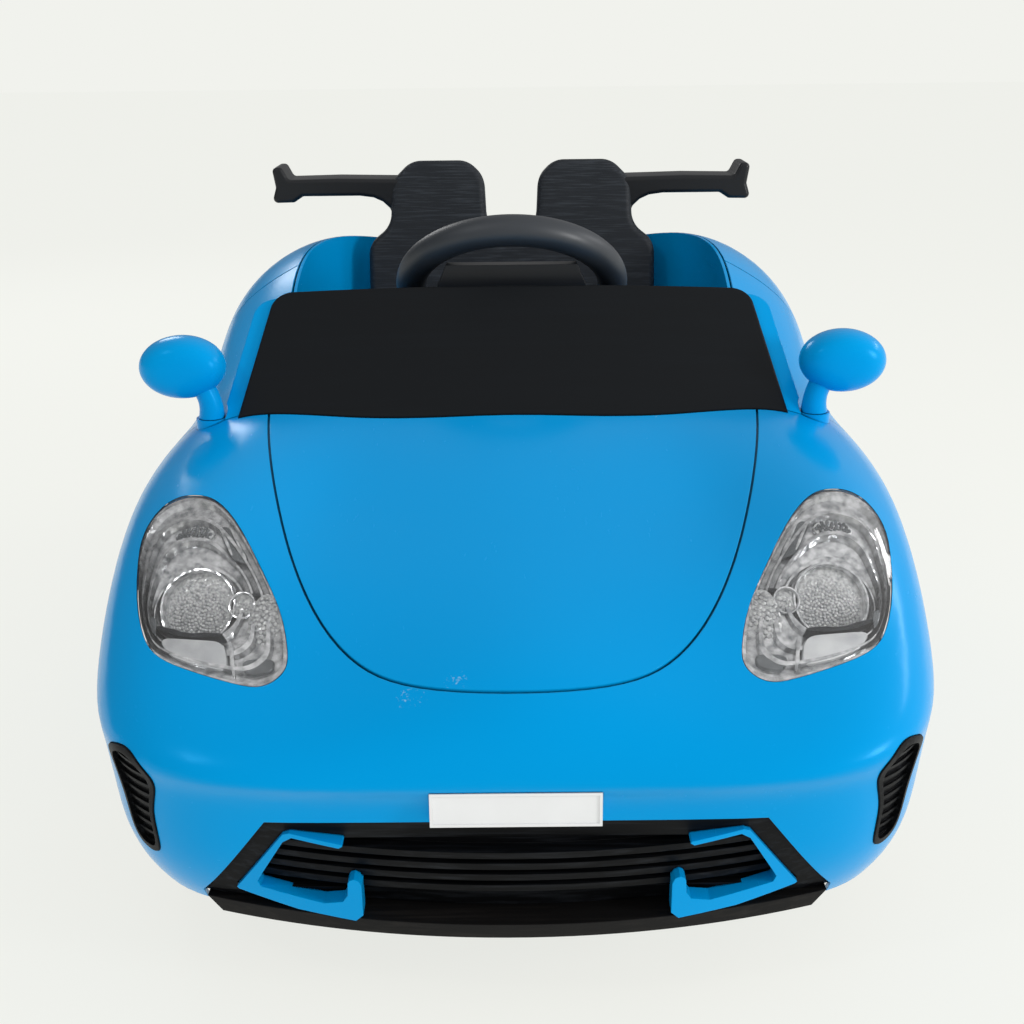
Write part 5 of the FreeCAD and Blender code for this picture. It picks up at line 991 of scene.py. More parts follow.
@dataclass
class HeadLamps:
    """Bright stepped inserts behind the lamp lenses; sizes in millimetres in the lamp's own directions."""

    middle: Triple = (211.0, -384.0, 256.0)
    half_across: float = 60.0
    half_along: float = 82.0
    rise_deg: float = 54.7
    toe_deg: float = 16.2
    reach: float = 80.0
    outline_shares: tuple[Pair, ...] = (
        (0.52, 1.245), (0.91, 1.15), (1.06, 0.88), (1.02, 0.455), (0.91, 0.06), (0.745, -0.32), (0.53, -0.59),
        (0.045, -0.81), (-0.48, -0.95), (-0.80, -0.97), (-0.99, -0.835), (-0.995, -0.62), (-0.82, -0.175),
        (-0.485, 0.35), (-0.128, 0.84), (0.19, 1.138))
    cup_reach: float = 30.0
    # Share of the way from the lens edge to the main cup, and depth below the skin: back, then front
    steps: tuple[Pair, ...] = (
        (1.0, 31.0), (0.12, 31.0),
        (0.025, 2.9), (0.08, 3.2), (0.13, 8.0), (0.27, 9.0), (0.30, 5.6), (0.36, 5.3), (0.40, 11.0),
        (0.54, 12.0), (0.57, 8.4), (0.63, 8.2), (0.67, 14.0), (0.85, 16.5), (0.88, 14.0), (0.95, 14.5),
        (1.0, 28.0))
    cups: tuple[LampCup, ...] = (
        LampCup((13.0, -2.4), 16.5, 28.0, 10.0, 3.4, 280, 1.5),
        LampCup((-20.0, -5.5), 10.0, 10.0, 7.0, 1.6, 24, 1.35))
    disc_shares: tuple[float, ...] = (1.0, 0.85, 0.65, 0.42, 0.2, 0.04)
    field_points: int = 40
    # The grey bead patch, and the grey and dark panels, paint in shade and darker reflections among the
    # bright steps
    fields: tuple[BeadPatch, ...] = (
        BeadPatch((-38.0, -23.0), 9.0, (11.0, 21.0), 2.4, 64, 2.0, PILLOW),
        BeadPatch((24.0, 61.0), 9.5, (13.0, 6.5), 1.6, 40, 1.6, SHADE_GREY))
    panels: tuple[LampPanel, ...] = (
        LampPanel(((8.0, 67.0), (0.0, 70.0), (-22.0, 31.0), (-8.0, 34.0)), 6.4, SHADE_GREY),
        LampPanel(((5.5, 64.0), (3.6, 65.0), (-8.5, 39.0), (-6.8, 38.0)), 5.4, METALLISED, 2.0, 0.3),
        LampPanel(((-1.0, 66.0), (-2.8, 65.4), (-18.6, 35.6), (-16.6, 35.0)), 5.4, METALLISED, 2.0, 0.3),
        LampPanel(((32.0, -34.0), (8.0, -37.5), (-15.0, -40.0), (-21.0, -65.0), (3.0, -59.0),
                   (23.0, -49.0)), 6.0, BRIGHT),
        LampPanel(((-28.0, -55.0), (-50.0, -54.0), (-50.0, -66.0), (-32.0, -69.0)), 5.8, SHADE_GREY),
        LampPanel(((43.5, -13.0), (37.0, -16.0), (34.0, -31.0), (37.0, -31.0)), 6.0, SHADE_GREY),
        LampPanel(((36.0, -22.0), (20.0, -30.0), (4.0, -33.0), (-12.0, -32.0), (-12.0, -35.0), (4.0, -36.0),
                   (20.0, -33.0), (36.0, -25.0)), 7.0, SHADE_GREY_EDGE, chamfer=0.4),
        LampPanel(((-17.0, -40.0), (-20.0, -40.0), (-26.5, -70.0), (-24.0, -69.0)), 5.2, METALLISED,
                  chamfer=0.4),
        LampPanel(((-26.0, 3.6), (-34.0, 4.4), (-40.0, -0.5), (-41.5, -4.0), (-34.0, 0.8), (-26.0, 0.4)), 6.4,
                  SHADE_GREY_EDGE, chamfer=0.4))

    def __post_init__(self) -> None:
        """Gets the skin that depths are measured from."""
        self.skin = surface_of("headlamp_lenses", "body_shell")

    def axes(self, hand: Hand) -> tuple[Vector, Vector, Vector, Vector]:
        """Middle and directions of one lamp.

        Args:
            hand: Side of the car.

        Returns:
            Middle in metres, then the directions across, along and out of the lens.
        """
        rise, toe = math.radians(self.rise_deg), math.radians(self.toe_deg)
        ahead = math.cos(rise)
        out = Vector((hand.value * ahead * math.sin(toe), -ahead * math.cos(toe), math.sin(rise)))
        across = SIDE * hand.value
        across = (across - out * across.dot(out)).normalized()
        x, y, z = self.middle
        return Vector((x * hand.value, y, z)) * MM, across, out.cross(across) * hand.value, out

    def spot(self, hand: Hand, a: float, b: float, depth: float) -> Vector:
        """Point that lies a depth below the lens's outer skin.

        Args:
            hand: Side of the car.
            a: Place across the lamp.
            b: Place along the lamp.
            depth: Depth below the skin.

        Returns:
            The point in metres.
        """
        middle, across, along, out = self.axes(hand)
        base = middle + (across * a + along * b) * MM
        hit = self.skin.ray_cast(base + out * self.reach * MM, -out)[0]
        return (hit if hit is not None else base) - out * depth * MM

    def facing(self, hand: Hand, part: LampCup | BeadPatch) -> Matrix:
        """Seat of a cup or patch that is turned from the lens towards the front.

        Args:
            hand: Side of the car.
            part: The cup or patch.

        Returns:
            The seat's matrix.
        """
        _, across, along, out = self.axes(hand)
        tilt = math.radians(part.tilt_deg)
        face = out * math.cos(tilt) - along * math.sin(tilt)
        up = along * math.cos(tilt) + out * math.sin(tilt)
        return seat(self.spot(hand, *part.centre, part.depth), across * hand.value, up, face)

    def build(self) -> None:
        """Makes the inserts, cups, bead patches and panels of both lamps."""
        insert = mould("lamp_inserts", self.insert, METALLISED, smooth_deg=28.0)
        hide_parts("headlamp_reflectors")
        mould("lamp_cup_rings", self.rings, METALLISED)
        domes = mould("lamp_cup_domes", self.domes, PILLOW)
        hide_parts("headlamp_leds")
        self.optics()
        for finish in dict.fromkeys(panel.finish for panel in self.panels):
            mould("lamp_panels_" + finish.name, lambda work, finish=finish: self.plates(work, finish), finish,
                  smooth_deg=30.0)

    def insert(self, work: BMesh) -> None:
        """Adds the stepped insert of each lamp, a closed form from the lens edge in to the main cup.

        Args:
            work: Mesh that gets the inserts.
        """
        outline = closed_curve([(a * self.half_across, b * self.half_along) for a, b in self.outline_shares])
        ca, cb = self.cups[0].centre
        for hand in Hand:
            rings = []
            for share, depth in self.steps:
                ring = []
                for a, b in outline:
                    reach = math.hypot(a - ca, b - cb)
                    keep = 1.0 - share * (reach - self.cup_reach) / reach
                    ring.append(self.spot(hand, ca + (a - ca) * keep, cb + (b - cb) * keep, depth))
                rings.append(ring)
            bridge_rings(work, rings, capped=True)

    def rings(self, work: BMesh) -> None:
        """Adds the ring of each cup.

        Args:
            work: Mesh that gets the rings.
        """
        for hand in Hand:
            for cup in self.cups:
                r, w, lip = cup.radius, cup.wall, cup.lip
                lathe(work, self.facing(hand, cup),
                      ((r - 2 * lip, -w), (r, -w), (r, -lip), (r - 0.3 * lip, 0.0), (r - 1.2 * lip, 0.0),
                       (r - 1.8 * lip, -0.8 * lip), (r - 2 * lip, -2.2 * lip)), closed=True)

    def domes(self, work: BMesh) -> None:
        """Adds the domed disc in each cup and the plate under each bead patch.

        Args:
            work: Mesh that gets them.
        """
        for hand in Hand:
            for cup in self.cups:
                r = cup.radius - cup.lip * cup.disc_lips
                foot = -cup.rise - cup.disc_drop
                dome = [(r * s, foot + cup.rise * (1 - s * s)) for s in self.disc_shares]
                lathe(work, self.facing(hand, cup), [(r, foot - cup.disc_thick)] + dome)
            for patch in self.fields:
                place = self.facing(hand, patch)
                wide, tall = patch.half
                plate = ((1.12, -6.0), (1.12, -0.6), (1.0, 0.0), (0.7, patch.rise * 0.5),
                         (0.3, patch.rise * 0.9))
                rings = [ellipse(place, (wide * share, tall * share), height, self.field_points)
                         for share, height in plate]
                bridge_rings(work, rings, capped=True)

    def optics(self) -> None:
        """Adds the beads over the cups' discs and the bead patches."""
        tree = bead_tree()
        patches = [cup.patch for cup in self.cups] + list(self.fields)
        # Bright beads, and grey beads that paint in shade
        for label, finish in (("bright", PILLOW), ("smoked", SHADE_GREY)):
            name = "lamp_beads_" + label
            group = [patch for patch in patches if patch.finish is finish]
            made = [self.beads(tree, hand, patch) for hand in Hand for patch in group]
            link_mesh(name, joined(name, made), finish)

    def beads(self, tree: NodeTree, hand: Hand, patch: BeadPatch) -> Mesh:
        """Lays one patch of beads.

        Args:
            tree: Tree that lays them.
            hand: Side of the car.
            patch: The patch.

        Returns:
            The beads in place.
        """
        mesh = grow("lamp_bead_patch", tree, {
            "Count": patch.beads, "Half Across": patch.half[0] * MM, "Half Along": patch.half[1] * MM,
            "Rise": patch.rise * MM, "Bead": patch.bead * MM, "Material": patch.finish.build()})
        mesh.transform(self.facing(hand, patch))
        return mesh

    def plates(self, work: BMesh, finish: Finish) -> None:
        """Adds the panels of one finish, whose tops follow the lens.

        Args:
            work: Mesh that gets them.
            finish: Finish that they share.
        """
        group = [panel for panel in self.panels if panel.finish is finish]
        for hand in Hand:
            for panel in group:
                ring = rounded(panel.corners)
                ma = sum(a for a, _ in ring) / len(ring)
                mb = sum(b for _, b in ring) / len(ring)
                size = max(math.hypot(a - ma, b - mb) for a, b in ring)
                top = panel.depth
                rings = []
                for inset, depth in ((0.0, top + panel.skirt), (0.0, top + panel.chamfer),
                                     (panel.chamfer, top), (size * panel.crown_share, top - panel.crown)):
                    keep = 1.0 - inset / size
                    rings.append([self.spot(hand, ma + (a - ma) * keep, mb + (b - mb) * keep, depth)
                                  for a, b in ring])
                bridge_rings(work, rings, capped=True)


@dataclass
class Instruments:
    """Two dials on the driver's face of the dash pod; sizes in millimetres."""

    spacing: float = 33.0
    height: float = 414.0
    # Place behind the pod from which its face is looked for
    behind: float = 100.0
    radius: float = 14.0
    # Growth over the dial's radius, and height
    bezel: tuple[Pair, ...] = ((0.0, -0.4), (2.2, -0.4), (2.0, 1.2), (1.0, 1.9), (0.0, 1.2))
    # Radius and height
    hub: tuple[Pair, ...] = ((1.9, 0.4), (1.9, 1.4), (1.2, 1.8), (0.2, 1.9))
    marks: int = 13
    mark: Triple = (2.6, 0.7, 0.3)
    mark_share: float = 0.82
    mark_lift: float = 0.4
    sweep_deg: float = 240.0
    needle_deg: Pair = (205.0, 150.0)
    needle_share: float = 0.78
    needle_tail: float = 3.0
    # Half widths at the tail and the tip
    needle_half: Pair = (0.9, 0.25)
    # Height, and share of the width there
    needle_section: tuple[Pair, ...] = ((0.6, 1.0), (1.1, 0.6))

    def __post_init__(self) -> None:
        """Finds the seats of the two dials on the pod."""
        face = surface_of("dash_panel")
        self.seats: list[Matrix] = []
        for hand in Hand:
            start = Vector((-hand.value * self.spacing, self.behind, self.height)) * MM
            self.seats.append(seat(face.ray_cast(start, -BACK)[0], -SIDE, UP, BACK))

    def bezels(self, work: BMesh) -> None:
        """Adds the two bezel rings."""
        for place in self.seats:
            lathe(work, place, [(self.radius + out, height) for out, height in self.bezel], closed=True)

    def faces(self, work: BMesh) -> None:
        """Adds the two dial faces.

        Args:
            work: Mesh that gets them.
        """
        r = self.radius
        for place in self.seats:
            lathe(work, place, ((r + 0.4, -0.4), (r + 0.4, 0.3), (r * 0.3, 0.35), (0.3, 0.35)))

    def pointers(self, work: BMesh) -> None:
        """Adds a tapered pointer and its hub to each dial.

        Args:
            work: Mesh that gets them.
        """
        tip, tail = self.radius * self.needle_share, -self.needle_tail
        wide, fine = self.needle_half
        corners = ((tail, -wide), (tip, -fine), (tip, fine), (tail, wide))
        for place, degrees in zip(self.seats, self.needle_deg):
            turn = place @ Matrix.Rotation(math.radians(degrees), 4, "Z")
            rings = [[turn @ (Vector((x, y * spread, height)) * MM) for x, y in corners]
                     for height, spread in self.needle_section]
            bridge_rings(work, rings, capped=True)
            lathe(work, place, self.hub, count=20)

    def build(self) -> None:
        """Makes the bezels, faces, pointers and marks."""
        mould("dial_bezels", self.bezels, SILVER)
        mould("dial_faces", self.faces, DIAL_FACE)
        mould("dial_pointers", self.pointers, BUTTON_RED)
        tree = arc_tree()
        made = []
        for place in self.seats:
            mesh = grow("dial_mark_arc", tree, {
                "Count": self.marks, "Radius": self.radius * self.mark_share * MM,
                "Start": math.radians(90.0 - self.sweep_deg / 2),
                "Step": math.radians(self.sweep_deg) / (self.marks - 1),
                "Size": tuple(c * MM for c in self.mark), "Material": DIAL_MARK.build()})
            mesh.transform(place @ Matrix.Translation((0.0, 0.0, self.mark_lift * MM)))
            made.append(mesh)
        link_mesh("dial_marks", joined("dial_marks", made), DIAL_MARK)


@dataclass
class WheelTrim:
    """Moulded ribs round the outer wall of each wheel; sizes in millimetres."""

    x_face: float = 272.0
    z_axle: float = 95.0
    y_front: float = -275.0
    y_rear: float = 290.0
    ribs: int = 60
    mid_radius: float = 77.5
    rib: Triple = (12.0, 2.4, 1.6)

    def build(self) -> None:
        """Makes one ring of ribs for each wheel."""
        tree = arc_tree()
        wheels = ((Body.WHEEL_FRONT_LEFT, Hand.LEFT, self.y_front),
                  (Body.WHEEL_FRONT_RIGHT, Hand.RIGHT, self.y_front),
                  (Body.WHEEL_REAR_LEFT, Hand.LEFT, self.y_rear),
                  (Body.WHEEL_REAR_RIGHT, Hand.RIGHT, self.y_rear))
        for body, hand, y in wheels:
            name = "sidewall_ribs_" + body.value
            mesh = grow(name, tree, {
                "Count": self.ribs, "Radius": self.mid_radius * MM, "Start": 0.0,
                "Step": 2 * math.pi / self.ribs, "Size": tuple(c * MM for c in self.rib),
                "Material": TYRE_BLACK.build()})
            centre = Vector((hand.value * self.x_face, y, self.z_axle)) * MM
            mesh.transform(seat(centre, BACK * hand.value, UP, SIDE * hand.value))
            link_mesh(name, mesh, TYRE_BLACK, body)


@dataclass
class FootMats:
    """Moulded grip bars on the footwell floor; sizes in millimetres."""

    # Middle across, first bar along, number of bars and bar length
    pads: tuple[tuple[float, float, int, float], ...] = ((105.0, -120.0, 13, 130.0), (-80.0, -36.0, 7, 130.0))
    pitch: float = 13.0
    bar: Pair = (5.0, 2.6)
    # Height from which the floor is looked for
    above: float = 140.0

    def build(self) -> None:
        """Makes the two pads of bars on the floor's own height."""
        tree = row_tree()
        floor = surface_of("chassis_tray")
        made = []
        for x, y, count, length in self.pads:
            hit = floor.ray_cast(Vector((x, y, self.above)) * MM, -UP)[0]
            mesh = grow("grip_bar_row", tree, {
                "Count": count, "Pitch": self.pitch * MM, "Size": tuple(c * MM for c in (length, *self.bar)),
                "Material": FLOOR_BLACK.build()})
            mesh.transform(Matrix.Translation(hit))
            made.append(mesh)
        link_mesh("floor_grip_bars", joined("floor_grip_bars", made), FLOOR_BLACK)


@dataclass
class Fasteners:
    """Screw heads where panels are held; sizes in millimetres."""

    radius: float = 3.6
    height: float = 2.0
    # Shares of the radius and height, from the foot in the panel to the recess
    profile: tuple[Pair, ...] = (
        (1.0, -0.3), (1.0, 0.35), (0.86, 0.72), (0.55, 0.95), (0.5, 0.95), (0.42, 0.3))
    # The node that takes the screws, the way to look for its surface, and the points to look from
    aims: tuple[tuple[str, Triple, tuple[Triple, ...]], ...] = (
        ("seat_base", (0.0, 0.0, -1.0), ((-150.0, 84.0, 260.0), (150.0, 84.0, 260.0))),
        ("rear_skirt", (0.0, -1.0, 0.0), ((-140.0, 600.0, 98.0), (140.0, 600.0, 98.0), (-26.0, 600.0, 98.0),
                                          (26.0, 600.0, 98.0))),
        ("chassis_tray", (0.0, 0.0, 1.0), ((-170.0, -100.0, -50.0), (170.0, -100.0, -50.0),
                                           (-170.0, 120.0, -50.0), (170.0, 60.0, -50.0),
                                           (-150.0, 420.0, -50.0), (150.0, 420.0, -50.0))))

    def head(self, work: BMesh) -> None:
        """Adds a domed head with a recess, seated a little into the panel."""
        profile = [(across * self.radius, up * self.height) for across, up in self.profile]
        lathe(work, Matrix.Identity(4), profile, count=24)

    def build(self) -> None:
        """Makes the heads on the panels' own surfaces."""
        spots: list[Vector] = []
        axes: list[Vector] = []
        for node, way, starts in self.aims:
            surface = surface_of(node)
            for start in starts:
                hit, normal, _, _ = surface.ray_cast(Vector(start) * MM, Vector(way))
                if hit is None:
                    LOG.info("no seat for a screw on %s at %s", node, start)
                    continue
                spots.append(hit)
                axes.append(normal if normal.dot(Vector(way)) < 0 else -normal)
        points = bpy.data.meshes.new("screw_points")
        points.from_pydata([tuple(p) for p in spots], [], [])
        stored = points.attributes.new("axis", "FLOAT_VECTOR", "POINT")
        for i, axis in enumerate(axes):
            stored.data[i].vector = axis
        head = bpy.data.objects.new("screw_head", mesh_from("screw_head", self.head))
        bpy.context.scene.collection.objects.link(head)
        mesh = grow("panel_screws", head_tree(), {"Head": head, "Material": ZINC.build()}, points)
        bpy.data.objects.remove(head)
        link_mesh("panel_screws", mesh, ZINC)


@dataclass
class TailLamps:
    """Bright bezels, moulded ridges and clear reversing lenses on the tail lamps; sizes in millimetres."""

    middle: Triple = (190.7, 507.3, 252.0)
    toe_deg: float = 24.0
    half: Pair = (45.6, 18.6)
    reach: float = 100.0
    points: int = 72
    # Growth of the outline and height over the shell
    bezel: tuple[Pair, ...] = ((-0.6, -1.5), (-0.6, 1.0), (0.4, 1.7), (2.0, 1.7), (3.2, 0.9), (3.4, -1.5))
    # Growths at which the lens is solid, inside the gap round it
    solid: Pair = (-2.5, -5.5)
    # Growths of the outline on which a ridge stands, and its section
    ridge_lines: Pair = (-4.5, -9.0)
    ridge: tuple[Pair, ...] = ((-0.9, -0.6), (-0.5, 0.5), (0.0, 0.8), (0.5, 0.5), (0.9, -0.6))
    lens_shift: float = -24.0
    lens_radius: float = 7.5
    lens_points: int = 36
    # Share of the lens's radius, and height
    lens: tuple[Pair, ...] = ((1.0, -1.0), (1.0, 1.0), (0.9, 1.6), (0.6, 2.2), (0.25, 2.5))

    def __post_init__(self) -> None:
        """Gets the skin that the lamps follow."""
        self.skin = surface_of("tail_lamps", "body_shell")

    def spot(self, hand: Hand, a: float, b: float, height: float) -> Vector:
        """Point over the lamp's skin.

        Args:
            hand: Side of the car.
            a: Place across, outwards.
            b: Place upwards.
            height: Height over the skin.

        Returns:
            The point in metres.
        """
        toe = math.radians(self.toe_deg)
        out = Vector((hand.value * math.sin(toe), math.cos(toe), 0.0))
        across = Vector((hand.value * math.cos(toe), -math.sin(toe), 0.0))
        x, y, z = self.middle
        base = Vector((hand.value * x, y, z)) + across * a + UP * b
        hit = self.skin.ray_cast((base + out * self.reach) * MM, -out)[0]
        return (hit if hit is not None else base * MM) + out * height * MM

    def ring(self, hand: Hand, grow_by: float, height: float) -> list[Vector]:
        """Outline of the lens, grown and lifted."""
        wide, tall = (side + grow_by for side in self.half)
        return [self.spot(hand, wide * math.cos(t), tall * math.sin(t), height) for t in turns(self.points)]

    def frame_ring(self, hand: Hand, grow_by: float, height: float) -> list[Vector]:
        """Outline grown and lifted, carried on from the lens's own skin across the gap round it.

        Args:
            hand: Side of the car.
            grow_by: Growth of the outline.
            height: Height over the skin.

        Returns:
            The points in metres.
        """
        near, far = self.solid
        share = (near - grow_by) / (far - near)
        return [inner + (inner - outer) * share
                for inner, outer in zip(self.ring(hand, near, height), self.ring(hand, far, height))]

    def bezels(self, work: BMesh) -> None:
        """Adds a bright ring round each lens.

        Args:
            work: Mesh that gets the rings.
        """
        for hand in Hand:
            rings = [self.frame_ring(hand, grow_by, height) for grow_by, height in self.bezel]
            bridge_rings(work, rings + rings[:1])

    def ridges(self, work: BMesh) -> None:
        """Adds round-topped ridges on each lens.

        Args:
            work: Mesh that gets the ridges.
        """
        for hand in Hand:
            for line in self.ridge_lines:
                rings = [self.ring(hand, line + grow_by, height) for grow_by, height in self.ridge]
                bridge_rings(work, rings + rings[:1])

    def lenses(self, work: BMesh) -> None:
        """Adds a domed clear lens at the inner end of each lamp.

        Args:
            work: Mesh that gets them.
        """
        for hand in Hand:
            rings = []
            for share, height in self.lens:
                r = self.lens_radius * share
                rings.append([self.spot(hand, self.lens_shift + r * math.cos(t), r * math.sin(t), height)
                              for t in turns(self.lens_points)])
            bridge_rings(work, rings, capped=True)

    def build(self) -> None:
        """Makes the bezels, ridges and reversing lenses."""
        mould("tail_bezels", self.bezels, METALLISED)
        mould("tail_ridges", self.ridges, LENS_RED, smooth_deg=50.0)
        mould("reverse_lenses", self.lenses, DOME_CLEAR)


@dataclass(frozen=True)
class Slab:
    """A soft-edged moulded slab: an outline across and up, carried back from a leaning plane; millimetres."""

    corners: tuple[Pair, ...]
    corner: float
    # Place of the plane along the car and the height at which it lies there
    plane: Pair
    lean_deg: float
    thick: float
    edge: float
    edge_steps: int = 5
    corner_steps: int = 8
    # Gap between the rounded edge and the flat face's own rim
    rim: float = 0.5

    def outline(self) -> list[Vector]:
        """Rounds the corners by arcs.

        Returns:
            The points of the outline.
        """
        corners = [Vector(p) for p in self.corners]
        made = []
        for i, here in enumerate(corners):
            before = (corners[i - 1] - here).normalized()
            after = (corners[(i + 1) % len(corners)] - here).normalized()
            half = before.angle(after) / 2
            middle = here + (before + after).normalized() * (self.corner / math.sin(half))
            start = here + before * (self.corner / math.tan(half)) - middle
            stop = here + after * (self.corner / math.tan(half)) - middle
            sweep = start.angle_signed(stop)
            for step in range(self.corner_steps + 1):
                made.append(middle + Matrix.Rotation(-sweep * step / self.corner_steps, 2) @ start)
        return made

    def fill(self, work: BMesh) -> None:
        """Adds the slab as rings from its front face round its edges to its back.

        Args:
            work: Mesh that gets the slab.
        """
        line = self.outline()
        count = len(line)
        ways = [(line[(i + 1) % count] - line[i - 1]).normalized() for i in range(count)]
        lean = math.radians(self.lean_deg)
        deep = Vector((0.0, math.cos(lean), -math.sin(lean)))
        quarter = [math.pi / 2 * i / self.edge_steps for i in range(self.edge_steps + 1)]
        front = [(self.edge + self.rim, 0.0)]
        front += [(self.edge * (1.0 - math.sin(t)), self.edge * (1.0 - math.cos(t))) for t in quarter]
        rings = []
        for inset, depth in front + [(i, self.thick - d) for i, d in reversed(front)]:
            ring = []
            for p, way in zip(line, ways):
                x, z = p + Vector((-way.y, way.x)) * inset
                y = self.plane[0] + (z - self.plane[1]) * math.tan(lean)
                ring.append((Vector((x, y, z)) + deep * depth) * MM)
            rings.append(ring)
        bridge_rings(work, rings, capped=True)


@dataclass
class SeatBack:
    """Seat back with its two headrests and the two wings beside them; millimetres."""

    # Left half of the seat back, across and up, from the foot round the headrest to the valley
    half_back: tuple[Pair, ...] = (
        (157.0, 180.0), (157.0, 409.0), (132.0, 428.0), (131.5, 474.0), (109.0, 496.0), (47.0, 496.0),
        (29.5, 479.0), (26.5, 418.0))
    back_corner: float = 26.5
    back_plane: Pair = (258.0, 400.0)
    back_thick: float = 34.0
    back_edge: float = 7.0
    lean_deg: float = 10.7
    # Left wing, from the headrest out along the lower edge, round the fin and back along the top
    wing: tuple[Pair, ...] = (
        (117.0, 428.0), (128.0, 428.0), (129.5, 436.0), (133.5, 445.0), (141.0, 452.0), (151.0, 456.5),
        (166.0, 458.5), (228.0, 458.5), (238.0, 452.0), (262.5, 451.5), (257.5, 468.0), (261.0, 490.0),
        (250.0, 490.0), (243.0, 476.5), (190.0, 477.5), (117.0, 476.0))
    wing_corner: float = 5.0
    wing_plane: Pair = (272.0, 0.0)
    wing_chord: float = 50.0
    wing_edge: float = 4.0

    def back(self, work: BMesh) -> None:
        """Adds the seat back, both halves in one outline.

        Args:
            work: Mesh that gets it.
        """
        whole = self.half_back + tuple((-x, z) for x, z in reversed(self.half_back))
        slab = Slab(whole, self.back_corner, self.back_plane, self.lean_deg, self.back_thick, self.back_edge)
        slab.fill(work)

    def wings(self, work: BMesh) -> None:
        """Adds the wing of each side."""
        for side in (self.wing, tuple((-x, z) for x, z in reversed(self.wing))):
            Slab(side, self.wing_corner, self.wing_plane, 0.0, self.wing_chord, self.wing_edge).fill(work)

    def build(self) -> None:
        """Makes both mouldings in place of the CAD's plainer ones."""
        piece = mould("seat_back_moulding", self.back, SEAT_BLACK)
        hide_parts("seat_back")
        piece = mould("wing_mouldings", self.wings, SMOOTH_BLACK)
        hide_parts("rear_wings")


@dataclass
class ArchWalls:
    """Inner walls of the wheel arches, moulded with the shell and hanging from its underside; millimetres."""

    x_wall: float = 160.0
    thick: float = 2.5
    # First and last place along the car, and the lower edge
    spans: tuple[Triple, ...] = ((-400.0, -160.0, 94.0), (176.0, 405.0, 160.0))
    stations: int = 40
    least: float = 4.0

    def build(self) -> None:
        """Makes the four walls up to the underside of the shell."""
        mould("arch_walls", self.walls, FLOOR_BLACK)

    def walls(self, work: BMesh) -> None:
        """Adds each wall as a plate whose top edge follows the shell.

        Args:
            work: Mesh that gets the walls.
        """
        shell = surface_of("body_shell", "hood_panel", "cockpit_liner")
        for hand in Hand:
            x = hand.value * self.x_wall
            for start, stop, foot in self.spans:
                rings = []
                for i in range(self.stations):
                    y = start + (stop - start) * i / (self.stations - 1)
                    hit = shell.ray_cast(Vector((x, y, foot)) * MM, UP)[0]
                    if hit is None or hit.z < (foot + self.least) * MM:
                        continue
                    top = hit.z / MM
                    corners = ((0.0, foot), (self.thick, foot), (self.thick, top), (0.0, top))
                    rings.append([Vector((x - hand.value * dx, y, z)) * MM for dx, z in corners])
                bridge_rings(work, rings, capped=True)


@dataclass(frozen=True)
class SoftBox:
    """A soft light: place and aim in metres, width and height, and power in watts."""

    name: str
    place: Triple
    aim: Triple
    size: Pair
    power: float


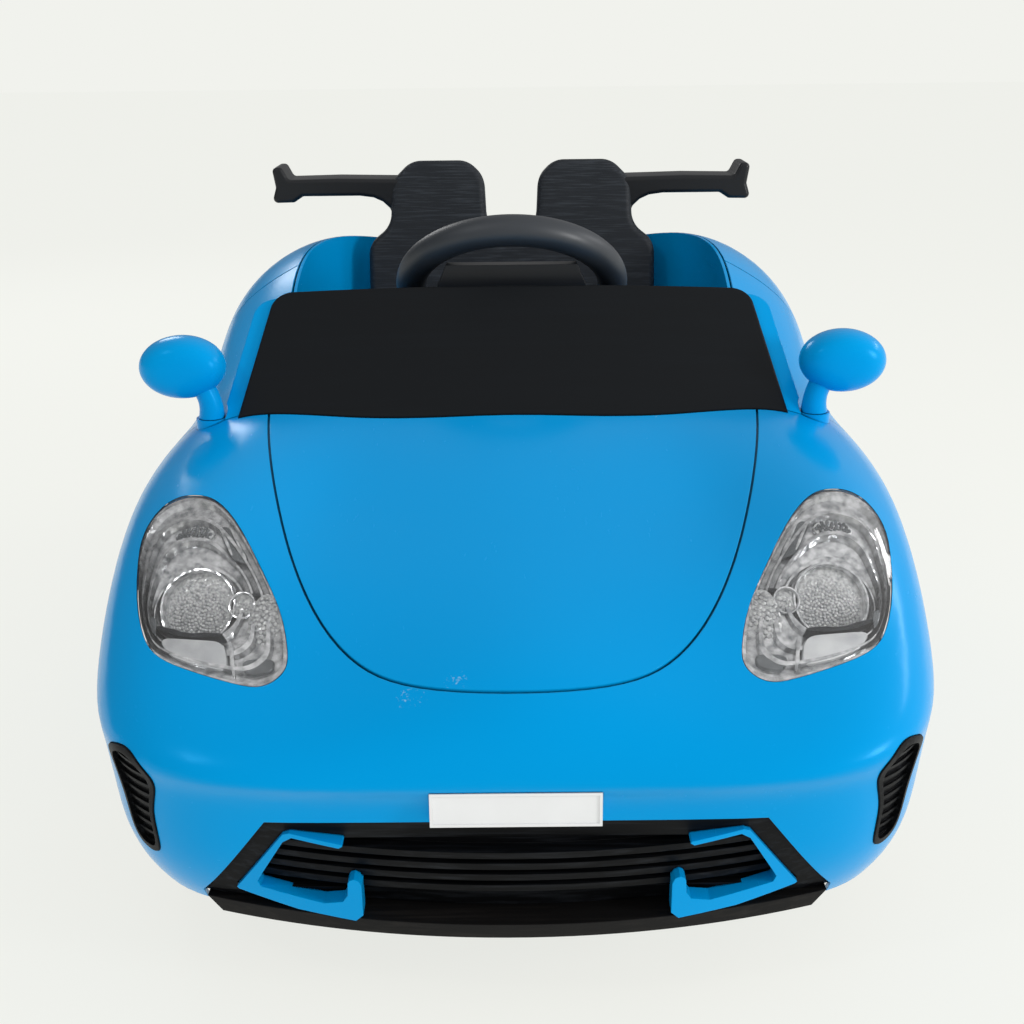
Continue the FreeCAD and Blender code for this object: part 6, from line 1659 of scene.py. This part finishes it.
@dataclass
class Studio:
    """Pale floor, soft light and the camera of the photograph."""

    floor_half: float = 14.0
    camera_place: Triple = (0.002, -1.299, 0.6364)
    pitch_deg: float = 19.15
    yaw_deg: float = 0.18
    roll_deg: float = -0.63
    lens_mm: float = 49.56
    sensor_mm: float = 36.0
    clip: Pair = (0.05, 100.0)
    backdrop: str = "#F1F2ED"
    sky: str = "#FFFFFF"
    bright_side: Triple = (0.7, -0.5, 0.5)
    sky_most: float = 0.95
    boxes: tuple[SoftBox, ...] = (
        SoftBox("key_box", (2.0, -1.3, 0.9), (0.2, -0.35, 0.22), (0.6, 0.6), 16.0),
        SoftBox("fill_box", (-1.5, -1.6, 2.2), (-0.1, -0.2, 0.25), (0.4, 0.4), 5.0),
        SoftBox("side_strip", (2.0, 0.4, 1.3), (0.2, -0.1, 0.25), (1.4, 0.18), 6.0),
        SoftBox("rear_box", (-1.2, 2.2, 1.6), (0.0, 0.2, 0.2), (0.8, 0.8), 9.0))

    def build(self) -> None:
        """Makes the floor, the light and the camera."""
        self.floor()
        self.world()
        self.light()
        self.camera()

    def square(self, work: BMesh) -> None:
        """Adds one large square.

        Args:
            work: Mesh that gets it.
        """
        half = self.floor_half
        corners = ((-half, -half), (half, -half), (half, half), (-half, half))
        work.faces.new([work.verts.new((x, y, 0.0)) for x, y in corners])

    def floor(self) -> None:
        """Makes the pale floor."""
        mesh = mesh_from("studio_floor", self.square)
        mesh.materials.append(STUDIO_FLOOR.build())
        sheet = bpy.data.objects.new("studio_floor", mesh)
        bpy.context.scene.collection.objects.link(sheet)

    def world(self) -> None:
        """Makes the sky, brighter on one side, behind an even pale backdrop."""
        world = bpy.data.worlds.new("studio_sky")
        world.use_nodes = True
        tree = world.node_tree
        tree.nodes.clear()
        way = add_node(tree, "ShaderNodeTexCoord").outputs["Generated"]
        toward = add_node(tree, "ShaderNodeVectorMath",
                          {0: way, 1: Vector(self.bright_side).normalized()}, operation="DOT_PRODUCT")
        level = add_node(tree, "ShaderNodeMapRange",
                         {"Value": toward, "From Min": -1.0, "To Max": self.sky_most})
        soft = add_node(tree, "ShaderNodeBackground", {"Color": linear(self.sky), "Strength": level})
        plain = add_node(tree, "ShaderNodeBackground", {"Color": linear(self.backdrop), "Strength": 1.0})
        # The backdrop is an even pale card; the light comes from softer boxes out of view
        seen = add_node(tree, "ShaderNodeLightPath").outputs["Is Camera Ray"]
        both = add_node(tree, "ShaderNodeMixShader", {0: seen, 1: soft, 2: plain})
        add_node(tree, "ShaderNodeOutputWorld", {"Surface": both})
        bpy.context.scene.world = world

    def light(self) -> None:
        """Makes the soft boxes."""
        for box in self.boxes:
            data = bpy.data.lights.new(box.name, "AREA")
            data.shape = "ELLIPSE"
            data.size, data.size_y = box.size
            data.energy = box.power
            lamp = bpy.data.objects.new(box.name, data)
            lamp.location = box.place
            lamp.rotation_euler = (Vector(box.aim) - Vector(box.place)).to_track_quat("-Z", "Y").to_euler()
            bpy.context.scene.collection.objects.link(lamp)

    def camera(self) -> None:
        """Makes the camera at the photograph's place and angle."""
        data = bpy.data.cameras.new("photo_camera")
        data.sensor_width = self.sensor_mm
        data.lens = self.lens_mm
        data.clip_start, data.clip_end = self.clip
        camera = bpy.data.objects.new("photo_camera", data)
        turn = Euler((math.radians(90.0 - self.pitch_deg), 0.0, math.radians(self.yaw_deg))).to_matrix()
        roll = Matrix.Rotation(math.radians(self.roll_deg), 3, "Z")
        camera.matrix_world = Matrix.Translation(Vector(self.camera_place)) @ (turn @ roll).to_4x4()
        bpy.context.scene.collection.objects.link(camera)
        bpy.context.scene.camera = camera
        bpy.context.scene.view_settings.view_transform = "Standard"


def main() -> None:
    """Builds the finishes, the dressed pieces and the studio in order."""
    logging.basicConfig(level=logging.INFO, format="%(name)s: %(message)s")
    dress_nodes()
    for part in (HeadLamps, Instruments, WheelTrim, FootMats, TailLamps, SeatBack, ArchWalls, Fasteners,
                 Studio):
        part().build()


if __name__ == "__main__":
    main()
